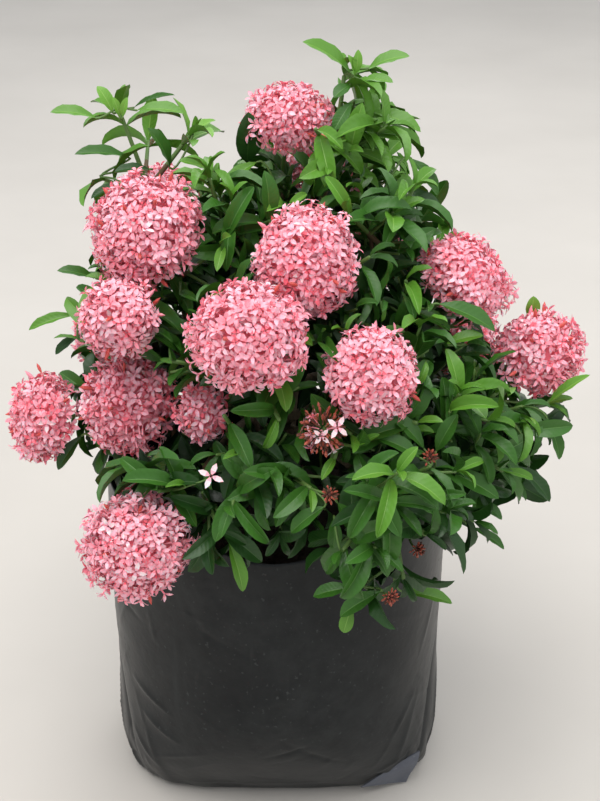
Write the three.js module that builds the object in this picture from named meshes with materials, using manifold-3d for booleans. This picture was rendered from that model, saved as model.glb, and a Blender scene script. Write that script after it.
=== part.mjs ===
// A flowering ixora shrub in a black film nursery bag, in millimetres, +Z up.
// The origin is the centre of the bag's flat underside. The viewer stands at -Y and sees +X on the right.
import * as THREE from "three";
import Module from "manifold-3d";

const wasm = await Module();
wasm.setup();

const GAP = 0.3; // clearance kept between solids that touch on the real plant
const UP = new THREE.Vector3(0, 0, 1);

// The bag: a round mouth over a foot that the flat seam squeezes front to back
const bag = {
  height: 248,
  radius: 124,
  footHalfWidth: 115,
  footHalfDepth: 72,
  footCorner: 3.4, // exponent of the foot's outline, where 2 is an ellipse
  sideRise: 45, // height at which the width is full
  frontRise: 105, // height at which the depth is full
  hemRound: 7, // radius of the turn from wall to underside
  film: 1.6,
  frontDip: 11, // how far the rim sags in front
  rimWave: 2.5,
  sides: 28,
};
const soilLevel = 216;

// The woody frame. Each limb runs from a place on its parent to its end, bowed upwards by its arch.
const trunk = { foot: [4, 6], top: [8, 4, 266], flare: 14, base: 9.5, tip: 7.5 };
const mainBoughs = {
  bough_left: { end: [-48, -18, 318], arch: 6 },
  bough_front: { end: [6, -62, 312], arch: 8 },
  bough_right: { end: [70, -30, 304], arch: 8 },
  bough_back: { end: [6, 66, 318], arch: 8 },
  bough_top: { end: [18, 16, 368], arch: 2 },
};
const mainBough = { base: 5.2, tip: 4.2, sides: 7, steps: 3 };
const sideBough = { base: 3.4, tip: 2.6, sides: 5, steps: 2, share: 0.6 };
const crownCore = [10, 5, 320]; // shoots lean away from this point

// The masses of foliage. hub is where a mass's shoots part, reach their length, and lift how far they turn upwards.
// A head is the place and radius of one ball of blossom, and a bud cluster is a small unopened head.
const masses = {
  crown_tip: { from: "bough_top", hub: [42, 26, 480], reach: 41, shoots: 6, lift: 1, seed: 532 },
  crown_head: {
    from: "bough_top", hub: [0, 57, 423], reach: 40, shoots: 4, lift: 0.5, seed: 334,
    heads: [[9, 30, 493, 26.5]],
  },
  crown_right: { from: "bough_top", hub: [76, -15, 422], reach: 39, shoots: 6, lift: 0.6, seed: 62 },
  crown_left: { from: "bough_top", hub: [-34, -8, 428], reach: 37, shoots: 5, lift: 0.7, seed: 266 },
  upper_middle: {
    from: "bough_top", hub: [18, -30, 392], reach: 56, shoots: 4, lift: 0.3, seed: 13,
    heads: [[20, -70, 430, 34]],
  },
  upper_left: {
    from: "bough_left", hub: [-70, -8, 394], reach: 42, shoots: 4, lift: 0.3, seed: 230,
    heads: [[-83, -40, 440, 37]],
  },
  left_leader: { from: "bough_left", hub: [-92, 35, 458], reach: 36, shoots: 5, lift: 0.9, seed: 101 },
  left_edge: {
    from: "bough_left", hub: [-88, -28, 366], reach: 42, shoots: 5, lift: 0.3, seed: 76,
    heads: [[-97, -85, 398, 26]],
  },
  left_low: {
    from: "bough_left", hub: [-77, -34, 296], reach: 51, shoots: 4, lift: 0, seed: 466,
    heads: [[-98, -48, 318, 32]],
  },
  far_left: {
    from: "bough_left", hub: [-114, 2, 294], reach: 35, shoots: 5, lift: 0.1, seed: 766,
    heads: [[-161, -30, 298, 26]],
  },
  low_left: {
    from: "bough_left", hub: [-54, -106, 287], reach: 41, shoots: 5, lift: -0.8, seed: 797,
    heads: [[-88, -134, 260, 35]],
  },
  centre: {
    from: "bough_front", hub: [-14, -88, 362], reach: 52, shoots: 4, lift: 0, seed: 20,
    heads: [[-14, -130, 406, 35], [-46, -92, 334, 17]],
  },
  centre_right: {
    from: "bough_front", hub: [54, -90, 340], reach: 50, shoots: 5, lift: 0, seed: 21,
    heads: [[61, -125, 377, 29], [31, -140, 347, 15]],
  },
  low_centre: { from: "bough_front", hub: [-14, -101, 303], reach: 54, shoots: 7, lift: 0.1, seed: 77 },
  low_right: { from: "bough_front", hub: [80, -130, 287], reach: 44, shoots: 6, lift: 0.1, seed: 122 },
  right_upper: {
    from: "bough_right", hub: [89, -21, 361], reach: 45, shoots: 4, lift: 0, seed: 280,
    heads: [[128, -20, 398, 30]],
  },
  far_right: {
    from: "bough_right", hub: [144, -40, 292], reach: 38, shoots: 5, lift: 0, seed: 82,
    heads: [[180, -22, 343, 28.5]],
  },
  right_low: { from: "bough_right", hub: [112, -75, 307], reach: 48, shoots: 8, lift: -0.1, seed: 816 },
  back_top: {
    from: "bough_back", hub: [28, 96, 416], reach: 52, shoots: 4, lift: 0.5, seed: 27,
    heads: [[34, 120, 438, 32]],
  },
  back_left: {
    from: "bough_back", hub: [-66, 86, 366], reach: 46, shoots: 4, lift: 0.3, seed: 28,
    heads: [[-92, 106, 402, 33]],
  },
  back_right: {
    from: "bough_back", hub: [80, 80, 356], reach: 46, shoots: 4, lift: 0.3, seed: 29,
    heads: [[80, 120, 362, 31]],
  },
  back_low_left: {
    from: "bough_back", hub: [-98, 64, 296], reach: 46, shoots: 4, lift: 0.1, seed: 78,
    heads: [[-126, 84, 312, 29]],
  },
  back_low: {
    from: "bough_back", hub: [0, 116, 310], reach: 54, shoots: 4, lift: 0, seed: 31,
    heads: [[-6, 150, 336, 33]],
  },
  back_low_right: {
    from: "bough_back", hub: [106, 82, 288], reach: 52, shoots: 4, lift: 0, seed: 36,
    heads: [[138, 96, 304, 30]],
  },
};

const shoot = { base: 1.9, tip: 1.4, spread: 1.5, tries: 120, ownRoom: 36, otherRoom: 26, passRoom: 7 };
const leaf = { length: 55, width: 24, keel: 1.8, room: 8, twigRoom: 2.5 };
const leafPairs = [{ down: 30, open: 1.4 }, { down: 16, open: 1.15 }, { down: 2, open: 0.75 }]; // down from the tip
const collarPairs = [{ down: 16, open: 1.35 }, { down: 4, open: 1.5 }]; // down from the underside of a head
// What a leaf without room tries in turn: shares of its angle and size, and a turn round the shoot
const leafTries = [[1, 1, 0], [0.75, 0.95, 0], [1.1, 0.9, 0.6], [1.1, 0.9, -0.6], [0.5, 0.85, 0], [0.9, 0.72, 0]];
const head = { stemShare: 0.55, bump: 0.12, wrap: 0.3, sight: 30, claim: 0.4, fineAbove: 33 };
const spaceMargin = 1.6; // a leaf is at least this much nearer to its own mass's wood than to any other's

const vec = (p) => new THREE.Vector3(...p);
const lerp = THREE.MathUtils.lerp;

// Park and Miller's generator, so that each seed always grows the same plant
function makeRandom(seed) {
  let state = seed * 7919;
  return () => (state = (state * 48271) % 2147483647) / 2147483647;
}

// A closed surface over rings of equally many points. Each end is a fan from a middle point, or else a flat polygon.
function loft(rings, firstMiddle, lastMiddle) {
  const sides = rings[0].length;
  const points = rings.flat();
  const top = (rings.length - 1) * sides;
  const index = [];
  for (let i = 0; i < sides; i++) {
    const next = (i + 1) % sides;
    for (let ring = 0; ring < top; ring += sides) {
      const a = ring + i;
      const b = ring + next;
      index.push(a, b, b + sides, a, b + sides, a + sides);
    }
    if (firstMiddle) index.push(points.length, next, i);
    else if (i > 0 && next > 0) index.push(0, next, i);
  }
  if (firstMiddle) points.push(firstMiddle);
  for (let i = 0; i < sides; i++) {
    const next = (i + 1) % sides;
    if (lastMiddle) index.push(points.length, top + i, top + next);
    else if (i > 0 && next > 0) index.push(top, top + i, top + next);
  }
  if (lastMiddle) points.push(lastMiddle);
  return geometryOf(points, index);
}

function geometryOf(points, index) {
  const geometry = new THREE.BufferGeometry().setFromPoints(points);
  geometry.setIndex(index);
  return geometry;
}

// A manifold-3d solid of an indexed geometry whose shared vertices are merged
function solidOf(geometry) {
  return new wasm.Manifold(
    new wasm.Mesh({
      numProp: 3,
      vertProperties: new Float32Array(geometry.getAttribute("position").array),
      triVerts: new Uint32Array(geometry.index.array),
    }),
  );
}

function geometryOfSolid(solid) {
  const mesh = solid.getMesh();
  const geometry = new THREE.BufferGeometry();
  geometry.setAttribute("position", new THREE.BufferAttribute(new Float32Array(mesh.vertProperties), 3));
  geometry.setIndex(new THREE.BufferAttribute(new Uint32Array(mesh.triVerts), 1));
  geometry.computeVertexNormals();
  return geometry;
}

// The largest connected piece, so that a scrap cut off by a neighbour is dropped
function largest(solid) {
  return solid.decompose().sort((a, b) => b.volume() - a.volume())[0];
}

// The centre line of a limb or twig: a smooth bow from start to end, raised in the middle
function bow(start, end, rise) {
  const middle = start.clone().lerp(end, 0.5).addScaledVector(UP, rise);
  return new THREE.QuadraticBezierCurve3(start, middle, end);
}

// A tapering rod along a curve. grow widens it and lengthens both ends, for cutting a neighbour clear of it.
function rod(curve, radiusAt, sides, steps, grow = 0) {
  const frames = curve.computeFrenetFrames(steps);
  const rings = [];
  for (let i = 0; i <= steps; i++) {
    const t = i / steps;
    const centre = curve.getPoint(t);
    if (i === 0) centre.addScaledVector(frames.tangents[0], -grow);
    if (i === steps) centre.addScaledVector(frames.tangents[steps], grow);
    const ring = [];
    for (let side = 0; side < sides; side++) {
      const angle = (side / sides) * 2 * Math.PI;
      ring.push(
        centre
          .clone()
          .addScaledVector(frames.normals[i], Math.cos(angle) * (radiusAt(t) + grow))
          .addScaledVector(frames.binormals[i], Math.sin(angle) * (radiusAt(t) + grow)),
      );
    }
    rings.push(ring);
  }
  return loft(rings);
}

// How far the rim stands above the ground in the direction of angle
function rimHeight(angle) {
  const fromFront = Math.atan2(Math.sin(angle + Math.PI / 2), Math.cos(angle + Math.PI / 2));
  const dip = bag.frontDip * Math.exp(-((fromFront / 0.42) ** 2));
  return bag.height - dip + bag.rimWave * Math.sin(3 * angle + 1) * (1 - dip / bag.frontDip);
}

// A point of the bag's wall at a height and angle, moved in by inset
function wallPoint(angle, z, inset) {
  const widthShare = Math.sin((Math.min(1, z / bag.sideRise) * Math.PI) / 2);
  const depthShare = Math.sin((Math.min(1, z / bag.frontRise) * Math.PI) / 2);
  const halfWidth = lerp(bag.footHalfWidth, bag.radius, widthShare) - inset;
  const halfDepth = lerp(bag.footHalfDepth, bag.radius, depthShare) - inset;
  const power = 2 / lerp(bag.footCorner, 2, depthShare);
  const x = halfWidth * Math.sign(Math.cos(angle)) * Math.abs(Math.cos(angle)) ** power;
  const y = halfDepth * Math.sign(Math.sin(angle)) * Math.abs(Math.sin(angle)) ** power;
  return new THREE.Vector3(x, y, z);
}

function wallRing(heightAt, inset) {
  const ring = [];
  for (let i = 0; i < bag.sides; i++) {
    const angle = ((i + 0.5) / bag.sides) * 2 * Math.PI;
    ring.push(wallPoint(angle, heightAt(angle), inset));
  }
  return ring;
}

const wallLevels = [24, 48, 76, 108];

// The space inside the wall, moved in by inset, from a height up to its top ring
function bagSpace(inset, low, top) {
  const flat = (z, more) => wallRing(() => z, inset + more);
  const rings = [
    flat(low, bag.hemRound),
    flat(low + bag.hemRound * 0.3, bag.hemRound * 0.3),
    flat(low + bag.hemRound, 0),
    ...wallLevels.map((z) => flat(z, 0)),
    ...top,
  ];
  return (middle) => loft(rings, new THREE.Vector3(5, 3, low), middle);
}

// The film bag: its outer shape hollowed out, with an uneven rim
function bagSolid() {
  const outer = bagSpace(0, 0, [wallRing(rimHeight, 0)])(new THREE.Vector3(5, 3, bag.height));
  const above = wallRing(() => bag.height + 20, bag.film);
  const inner = bagSpace(bag.film, bag.film, [above])(new THREE.Vector3(5, 3, bag.height + 20));
  return solidOf(outer).subtract(solidOf(inner));
}

// The filling of potting soil, slightly heaped round the trunk
function soilGeometry() {
  const inset = bag.film + GAP;
  const edge = wallRing(() => soilLevel - 6, inset);
  const heap = wallRing(() => soilLevel, inset + 60);
  return bagSpace(inset, inset, [edge, heap])(new THREE.Vector3(...trunk.foot, soilLevel));
}

const trunkFoot = new THREE.Vector3(...trunk.foot, soilLevel + GAP);
const trunkCurve = new THREE.LineCurve3(trunkFoot, vec(trunk.top));
const trunkRadius = (t) => lerp(trunk.base, trunk.tip, t) + (trunk.flare - trunk.base) * Math.exp(-t * 9);

// The trunk stands on a flat cut at the soil, so its lowest ring is level
function trunkGeometry(grow = 0) {
  const steps = 6;
  const rings = [];
  for (let i = 0; i <= steps; i++) {
    const t = i / steps;
    const centre = trunkCurve.getPoint(t);
    if (i === steps) centre.z += grow;
    const ring = [];
    for (let side = 0; side < 10; side++) {
      const angle = (side / 10) * 2 * Math.PI;
      const lobe = 1 + 0.12 * Math.exp(-t * 9) * Math.cos(5 * angle);
      const radius = trunkRadius(t) * lobe + grow;
      ring.push(centre.clone().add(new THREE.Vector3(Math.cos(angle) * radius, Math.sin(angle) * radius, 0)));
    }
    rings.push(ring);
  }
  return loft(rings);
}

// Every limb as a curve with its radii, main boughs first
function makeLimbs() {
  const limbs = [];
  const names = Object.keys(mainBoughs);
  names.forEach((name, i) => {
    const start = trunkCurve.getPoint(0.72 + 0.28 * (i / (names.length - 1)));
    const { end, arch } = mainBoughs[name];
    limbs.push({ name, curve: bow(start, vec(end), arch), ...mainBough });
  });
  for (const [name, mass] of Object.entries(masses)) {
    const parent = limbs.find((limb) => limb.name === mass.from);
    const order = Object.keys(masses).filter((other) => masses[other].from === mass.from).indexOf(name);
    const start = parent.curve.getPoint(1 - 0.11 * order);
    const hub = vec(mass.hub);
    const end = start.clone().lerp(hub, sideBough.share).addScaledVector(UP, 4);
    limbs.push({ name: "bough_to_" + name, curve: bow(start, end, 5), ...sideBough });
    mass.foot = end;
    mass.footWay = limbs[limbs.length - 1].curve.getTangent(1);
  }
  return limbs;
}

// A direction turned from axis by an angle, at a place round it
function turned(axis, tilt, around) {
  const side = new THREE.Vector3(0, 1, 0.3).cross(axis).normalize();
  const other = axis.clone().cross(side);
  return axis
    .clone()
    .multiplyScalar(Math.cos(tilt))
    .addScaledVector(side, Math.sin(tilt) * Math.cos(around))
    .addScaledVector(other, Math.sin(tilt) * Math.sin(around));
}

// Which way a mass or a head leans: away from the crown's core, and upwards by lift
function outward(place, lift) {
  return place.clone().sub(vec(crownCore)).normalize().addScaledVector(UP, lift).normalize();
}

// The parts of a curve as short capsules, for measuring distances to it
function capsules(curve, radius, steps = 4) {
  const points = curve.getPoints(steps);
  return points.slice(1).map((b, i) => ({ a: points[i], b, radius }));
}

function distanceToCapsule(point, { a, b, radius }) {
  const along = b.clone().sub(a);
  const t = THREE.MathUtils.clamp(point.clone().sub(a).dot(along) / along.lengthSq(), 0, 1);
  return point.distanceTo(along.multiplyScalar(t).add(a)) - radius;
}

const nearest = (point, list) => Math.min(...list.map((capsule) => distanceToCapsule(point, capsule)));

// A mass's leader grows on from its bough's tip past the hub, to its first head or to a leafy tip
function growLeader(mass) {
  const hub = vec(mass.hub);
  mass.random = makeRandom(mass.seed);
  mass.balls = (mass.heads ?? []).map(([x, y, z, radius]) => {
    const centre = new THREE.Vector3(x, y, z);
    const axis = outward(centre, 0.55).lerp(centre.clone().sub(hub).normalize(), 0.4).normalize();
    return { centre, radius, axis };
  });
  const endAt = (ball) => ball.centre.clone().addScaledVector(ball.axis, -ball.radius * head.stemShare);
  const start = mass.foot.clone().addScaledVector(mass.footWay, GAP);
  const bend = mass.footWay.clone().multiplyScalar(start.distanceTo(hub) * 0.5).add(start);
  const [first, ...more] = mass.balls;
  const end = first ? endAt(first) : hub.clone().addScaledVector(outward(hub, mass.lift), mass.reach * 0.75);
  mass.leader = new THREE.CubicBezierCurve3(start, bend, hub, end);
  mass.twigs = [{ curve: mass.leader, ball: first }];
  for (const ball of more) mass.twigs.push({ curve: bow(mass.leader.getPoint(0.5), endAt(ball), 0), ball });
  mass.tips = first ? [] : [end];
  mass.taken = [];
  for (const twig of mass.twigs) twig.capsules = capsules(twig.curve, shoot.base);
  mass.wood = mass.twigs.flatMap((twig) => twig.capsules);
  for (const { centre, radius } of mass.balls) {
    mass.wood.push({ a: centre, b: centre.clone().addScaledVector(UP, 0.01), radius: radius * head.claim });
  }
}

// True above the rim, or outside the bag by room
function clearOfBag(p, room) {
  return p.z > bag.height + room || Math.hypot(p.x, p.y) > bag.radius + room;
}

// True outside every head and the open air in front of it
function clearOfHeads(p, crown, room) {
  return nearest(p, crown.sight) > room;
}

// One more leafy shoot for a mass, if the random way that it turns leads into free space
function tryShoot(mass, crown) {
  const { random } = mass;
  const hub = vec(mass.hub);
  const direction = turned(outward(hub, mass.lift), shoot.spread * Math.sqrt(random()), random() * 2 * Math.PI);
  const length = mass.reach * (0.7 + 0.3 * random());
  const start = mass.leader.getPoint(0.3 + (0.4 * (mass.tips.length + 0.5)) / mass.shoots);
  const end = hub.addScaledVector(direction, length);
  const curve = bow(start, end, 0);
  const others = mass.othersWood();
  const fits = (t, otherRoom) => {
    const p = curve.getPoint(t);
    const free = nearest(p, others) > otherRoom && nearest(p, crown.limbs) > 5;
    return free && clearOfHeads(p, crown, 4) && clearOfBag(p, 8);
  };
  const free = fits(0.5, shoot.passRoom) && fits(0.75, shoot.passRoom) && fits(1, shoot.otherRoom);
  if (!free || mass.tips.some((tip) => tip.distanceTo(end) < shoot.ownRoom)) return;
  mass.tips.push(end);
  const twig = { curve, capsules: capsules(curve, shoot.base) };
  mass.twigs.push(twig);
  mass.wood.push(...twig.capsules);
}

// A leaf that leaves a shoot at t, opened by tilt and at a place round the shoot
function leafAt(curve, t, tilt, around, share) {
  const axis = curve.getTangent(t);
  const direction = turned(axis, tilt, around);
  const facing = axis.clone().addScaledVector(UP, 0.7).normalize();
  const normal = facing.addScaledVector(direction, -facing.dot(direction)).normalize();
  return { base: curve.getPoint(t), direction, normal, length: leaf.length * share, width: leaf.width * share };
}

// Opposite pairs of leaves near a shoot's tip or below its head, each pair turned a quarter from the last
function leafPlaces({ curve, ball }, random) {
  const first = random() * Math.PI;
  const length = curve.getLength();
  const end = ball ? length - ball.radius * (1 - head.stemShare) : length;
  return (ball ? collarPairs : leafPairs).flatMap(({ down, open }, pair) => {
    const tilt = open + 0.2 * random();
    const t = Math.max(0.1, (end - down) / length);
    return [0, Math.PI].map((side) => ({ t, tilt, around: first + (pair * Math.PI) / 2 + side }));
  });
}

// The leaves of one shoot that find room, a leaf without room being tried narrower and shorter
function growLeaves(mass, twig, crown) {
  const ownTwigs = mass.twigs.filter((other) => other !== twig).flatMap((other) => other.capsules);
  for (const { t, tilt, around } of leafPlaces(twig, mass.random)) {
    const share = 0.88 + 0.18 * mass.random();
    for (const [tiltShare, sizeShare, turn] of leafTries) {
      const item = leafAt(twig.curve, t, tilt * tiltShare, around + turn, share * sizeShare);
      const points = samplesOf(item);
      if (leafFits(points, mass, crown) && points.every((p) => nearest(p, ownTwigs) > leaf.twigRoom)) {
        mass.leaves.push(item);
        mass.taken.push(...points);
        break;
      }
    }
  }
}

// Places over a leaf at which its room is tested
function samplesOf({ base, direction, normal, length, width }) {
  const side = direction.clone().cross(normal);
  const at = (t, across) =>
    base.clone().addScaledVector(direction, length * t).addScaledVector(side, (width / 2) * across);
  return [at(0.36, 1), at(0.36, -1), at(0.72, 0.85), at(0.72, -0.85), at(0.54, 0), at(1, 0)];
}

// True if a leaf stays in its mass's space and touches no limb, head, bag or earlier leaf
function leafFits(points, mass, crown) {
  const others = mass.othersWood();
  return points.every(
    (p) =>
      nearest(p, mass.wood) + spaceMargin < nearest(p, others) &&
      nearest(p, crown.limbs) > 1.5 &&
      clearOfHeads(p, crown, 1) &&
      clearOfBag(p, 4) &&
      mass.taken.every((q) => q.distanceTo(p) > leaf.room),
  );
}

// A folded blade of eight faces: a straight keel below and the two margins bowed above it
function leafSolid({ base, direction, normal, length, width }) {
  const side = direction.clone().cross(normal);
  const at = (t, across, rise) =>
    base
      .clone()
      .addScaledVector(direction, length * t)
      .addScaledVector(side, width * across)
      .addScaledVector(normal, rise);
  const points = [
    at(0.01, 0, -0.4),
    at(0.36, -0.5, leaf.keel),
    at(0.72, -0.42, leaf.keel),
    at(1, 0, -leaf.keel * 0.6),
    at(0.72, 0.42, leaf.keel),
    at(0.36, 0.5, leaf.keel),
  ];
  const index = [0, 1, 3, 1, 2, 3, 0, 3, 5, 3, 4, 5, 0, 5, 1, 1, 5, 4, 1, 4, 2, 2, 4, 3];
  return solidOf(geometryOf(points, index));
}

// A ball of blossom: a faceted ball whose corners stand out and in like its florets
function headSolid({ centre, radius, axis }, random) {
  const source = new THREE.IcosahedronGeometry(radius, radius > head.fineAbove ? 2 : 1).getAttribute("position");
  const corners = new Map();
  const points = [];
  const index = [];
  for (let i = 0; i < source.count; i++) {
    const p = new THREE.Vector3().fromBufferAttribute(source, i);
    const key = p.toArray().map((v) => Math.round(v * 10)).join();
    if (!corners.has(key)) {
      corners.set(key, points.length);
      const under = Math.max(0, -p.dot(axis) / radius);
      const share = 1 - head.bump * random() - head.wrap * under * under;
      points.push(p.multiplyScalar(share).add(centre));
    }
    index.push(corners.get(key));
  }
  return solidOf(geometryOf(points, index));
}

function barkRadius(limb) {
  return (t) => lerp(limb.base, limb.tip, t);
}

function limbSolid(limb, grow = 0) {
  return solidOf(rod(limb.curve, barkRadius(limb), limb.sides, limb.steps, grow));
}

function twigSolid(curve, base, tip, steps) {
  return solidOf(rod(curve, (t) => lerp(base, tip, t), 3, steps));
}

const colours = {
  film: { color: 0x2b2d2f, roughness: 0.45, metalness: 0 },
  soil: { color: 0x2a1f18, roughness: 0.95, metalness: 0 },
  bark: { color: 0x6b5a45, roughness: 0.85, metalness: 0 },
  foliage: { color: 0x2f6b2a, roughness: 0.4, metalness: 0 },
};

const plant = new THREE.Group();

function addNode(name, geometry, finish) {
  const mesh = new THREE.Mesh(geometry, new THREE.MeshStandardMaterial(colours[finish]));
  mesh.name = name;
  plant.add(mesh);
}

// The woody limbs, each cut clear of those before it
function addLimbs(limbs) {
  addNode("trunk", trunkGeometry(), "bark");
  const taken = [solidOf(trunkGeometry(GAP))];
  for (const limb of limbs) {
    const solid = largest(limbSolid(limb).subtract(wasm.Manifold.union(taken)).simplify(0.03));
    addNode(limb.name, geometryOfSolid(solid), "bark");
    taken.push(limbSolid(limb, GAP));
  }
}

// Every mass's wood first, in turns, and then its leaves, which need to know the other masses' wood
function growMasses(limbs) {
  const all = Object.values(masses);
  all.forEach(growLeader);
  const sightOf = ({ centre, radius, axis }) => ({
    a: centre,
    b: centre.clone().addScaledVector(axis, head.sight),
    radius,
  });
  const crown = {
    limbs: [...limbs.flatMap((limb) => capsules(limb.curve, limb.base)), ...capsules(trunkCurve, trunk.base)],
    sight: all.flatMap((mass) => mass.balls.map(sightOf)),
  };
  for (const mass of all) {
    mass.othersWood = () => all.filter((other) => other !== mass).flatMap((other) => other.wood);
  }
  for (let round = 0; round < shoot.tries; round++) {
    for (const mass of all) if (mass.tips.length < mass.shoots) tryShoot(mass, crown);
  }
  for (const mass of all) {
    mass.leaves = [];
    for (const twig of mass.twigs) growLeaves(mass, twig, crown);
  }
}

// One fused solid for each mass: leader, shoots, leaves and heads
function addMasses() {
  for (const [name, mass] of Object.entries(masses)) {
    const random = makeRandom(mass.seed + 200);
    const [leader, ...shoots] = mass.twigs;
    const parts = [
      twigSolid(leader.curve, sideBough.tip, shoot.tip, 3),
      ...shoots.map(({ curve }) => twigSolid(curve, shoot.base, shoot.tip, 1)),
      ...mass.leaves.map(leafSolid),
      ...mass.balls.map((ball) => headSolid(ball, random)),
    ];
    addNode(name, geometryOfSolid(largest(wasm.Manifold.union(parts).simplify(0.05))), "foliage");
  }
}

addNode("bag", geometryOfSolid(bagSolid()), "film");
addNode("soil", soilGeometry(), "soil");
const limbs = makeLimbs();
addLimbs(limbs);
growMasses(limbs);
addMasses();

export default plant;
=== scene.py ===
"""A potted ixora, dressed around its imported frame. Lengths are in millimetres, +Z up, until a mesh is made.

The plant grows by the rule of the part's source: the same limbs, leaders and shoots from the same seeds.
Here they go on to finer twigs with life-sized leaves, and to heads of single florets."""

import math

import bpy
import numpy as np
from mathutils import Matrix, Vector, noise


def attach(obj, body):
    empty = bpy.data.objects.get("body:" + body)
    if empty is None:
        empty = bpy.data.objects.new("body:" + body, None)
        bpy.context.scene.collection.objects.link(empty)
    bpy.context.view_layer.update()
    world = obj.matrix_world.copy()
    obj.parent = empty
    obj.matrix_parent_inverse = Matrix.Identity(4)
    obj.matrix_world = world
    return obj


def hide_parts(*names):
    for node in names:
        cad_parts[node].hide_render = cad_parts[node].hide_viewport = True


MM = 0.001
TURN = 2 * math.pi
GOLDEN_ANGLE = math.pi * (3 - math.sqrt(5))
UP = np.array([0.0, 0.0, 1.0])

# Camera, from the photograph's perspective
CAMERA_PLACE = (17, -954, 782)
CAMERA_PITCH = 27  # degrees below the horizon
FOCAL_PIXELS = 1500
IMAGE_HEIGHT = 801
SENSOR = 36

# The bag and its filling, as in the source
BAG_HEIGHT = 248
BAG_RADIUS = 124
FOOT_HALF_WIDTH = 115
FOOT_HALF_DEPTH = 72
FOOT_CORNER = 3.4  # exponent of the foot's outline, where 2 is an ellipse
SIDE_RISE = 45
FRONT_RISE = 105
FRONT_DIP = 11
RIM_WAVE = 2.5
SOIL_LEVEL = 216

# The woody frame, as in the source
GAP = 0.3
TRUNK_FOOT = (4, 6, SOIL_LEVEL + GAP)
TRUNK_TOP = (8, 4, 266)
TRUNK_FLARE, TRUNK_BASE, TRUNK_TIP = 14, 9.5, 7.5
MAIN_BOUGHS = {  # end and arch
    "bough_left": ((-48, -18, 318), 6),
    "bough_front": ((6, -62, 312), 8),
    "bough_right": ((70, -30, 304), 8),
    "bough_back": ((6, 66, 318), 8),
    "bough_top": ((18, 16, 368), 2),
}
MAIN_BASE, MAIN_TIP = 5.2, 4.2
SIDE_BASE, SIDE_TIP, SIDE_SHARE = 3.4, 2.6, 0.6
CROWN_CORE = np.array([10.0, 5.0, 320.0])

# The masses of foliage, as in the source: bough, hub, reach, shoots, lift, seed and heads of blossom.
# Many of the seeds, hubs, reaches and lifts were fitted to the photograph's outline.
MASSES = {
    "crown_tip": ("bough_top", (42, 26, 480), 41, 6, 1, 532, []),
    "crown_head": ("bough_top", (0, 57, 423), 40, 4, 0.5, 334, [(9, 30, 493, 26.5)]),
    "crown_right": ("bough_top", (76, -15, 422), 39, 6, 0.6, 62, []),
    "crown_left": ("bough_top", (-34, -8, 428), 37, 5, 0.7, 266, []),
    "upper_middle": ("bough_top", (18, -30, 392), 56, 4, 0.3, 13, [(20, -70, 430, 34)]),
    "upper_left": ("bough_left", (-70, -8, 394), 42, 4, 0.3, 230, [(-83, -40, 440, 37)]),
    "left_leader": ("bough_left", (-92, 35, 458), 36, 5, 0.9, 101, []),
    "left_edge": ("bough_left", (-88, -28, 366), 42, 5, 0.3, 76, [(-97, -85, 398, 26)]),
    "left_low": ("bough_left", (-77, -34, 296), 51, 4, 0, 466, [(-98, -48, 318, 32)]),
    "far_left": ("bough_left", (-114, 2, 294), 35, 5, 0.1, 766, [(-161, -30, 298, 26)]),
    "low_left": ("bough_left", (-54, -106, 287), 41, 5, -0.8, 797, [(-88, -134, 260, 35)]),
    "centre": ("bough_front", (-14, -88, 362), 52, 4, 0, 20, [(-14, -130, 406, 35), (-46, -92, 334, 17)]),
    "centre_right": ("bough_front", (54, -90, 340), 50, 5, 0, 21, [(61, -125, 377, 29), (31, -140, 347, 15)]),
    "low_centre": ("bough_front", (-14, -101, 303), 54, 7, 0.1, 77, []),
    "low_right": ("bough_front", (80, -130, 287), 44, 6, 0.1, 122, []),
    "right_upper": ("bough_right", (89, -21, 361), 45, 4, 0, 280, [(128, -20, 398, 30)]),
    "far_right": ("bough_right", (144, -40, 292), 38, 5, 0, 82, [(180, -22, 343, 28.5)]),
    "right_low": ("bough_right", (112, -75, 307), 48, 8, -0.1, 816, []),
    "back_top": ("bough_back", (28, 96, 416), 52, 4, 0.5, 27, [(34, 120, 438, 32)]),
    "back_left": ("bough_back", (-66, 86, 366), 46, 4, 0.3, 28, [(-92, 106, 402, 33)]),
    "back_right": ("bough_back", (80, 80, 356), 46, 4, 0.3, 29, [(80, 120, 362, 31)]),
    "back_low_left": ("bough_back", (-98, 64, 296), 46, 4, 0.1, 78, [(-126, 84, 312, 29)]),
    "back_low": ("bough_back", (0, 116, 310), 54, 4, 0, 31, [(-6, 150, 336, 33)]),
    "back_low_right": ("bough_back", (106, 82, 288), 52, 4, 0, 36, [(138, 96, 304, 30)]),
}

# The source's rule for shoots
SHOOT_BASE, SHOOT_TIP = 1.9, 1.4
SHOOT_SPREAD, SHOOT_TRIES = 1.5, 120
OWN_ROOM, OTHER_ROOM, PASS_ROOM = 36, 26, 7
HEAD_STEM, HEAD_SIGHT, HEAD_CLAIM = 0.55, 30, 0.4

# What the rule is carried on to here: side twigs and life-sized leaves
TWIG_BASE, TWIG_TIP = 1.3, 0.9
TWIG_STARTS = (0.25, 0.42, 0.6, 0.78)
BOUGH_STARTS = (0.4, 0.55, 0.7, 0.85, 0.98)  # on a side bough, for the leaves inside the crown
TWIG_LENGTH = (20, 32)
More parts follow.
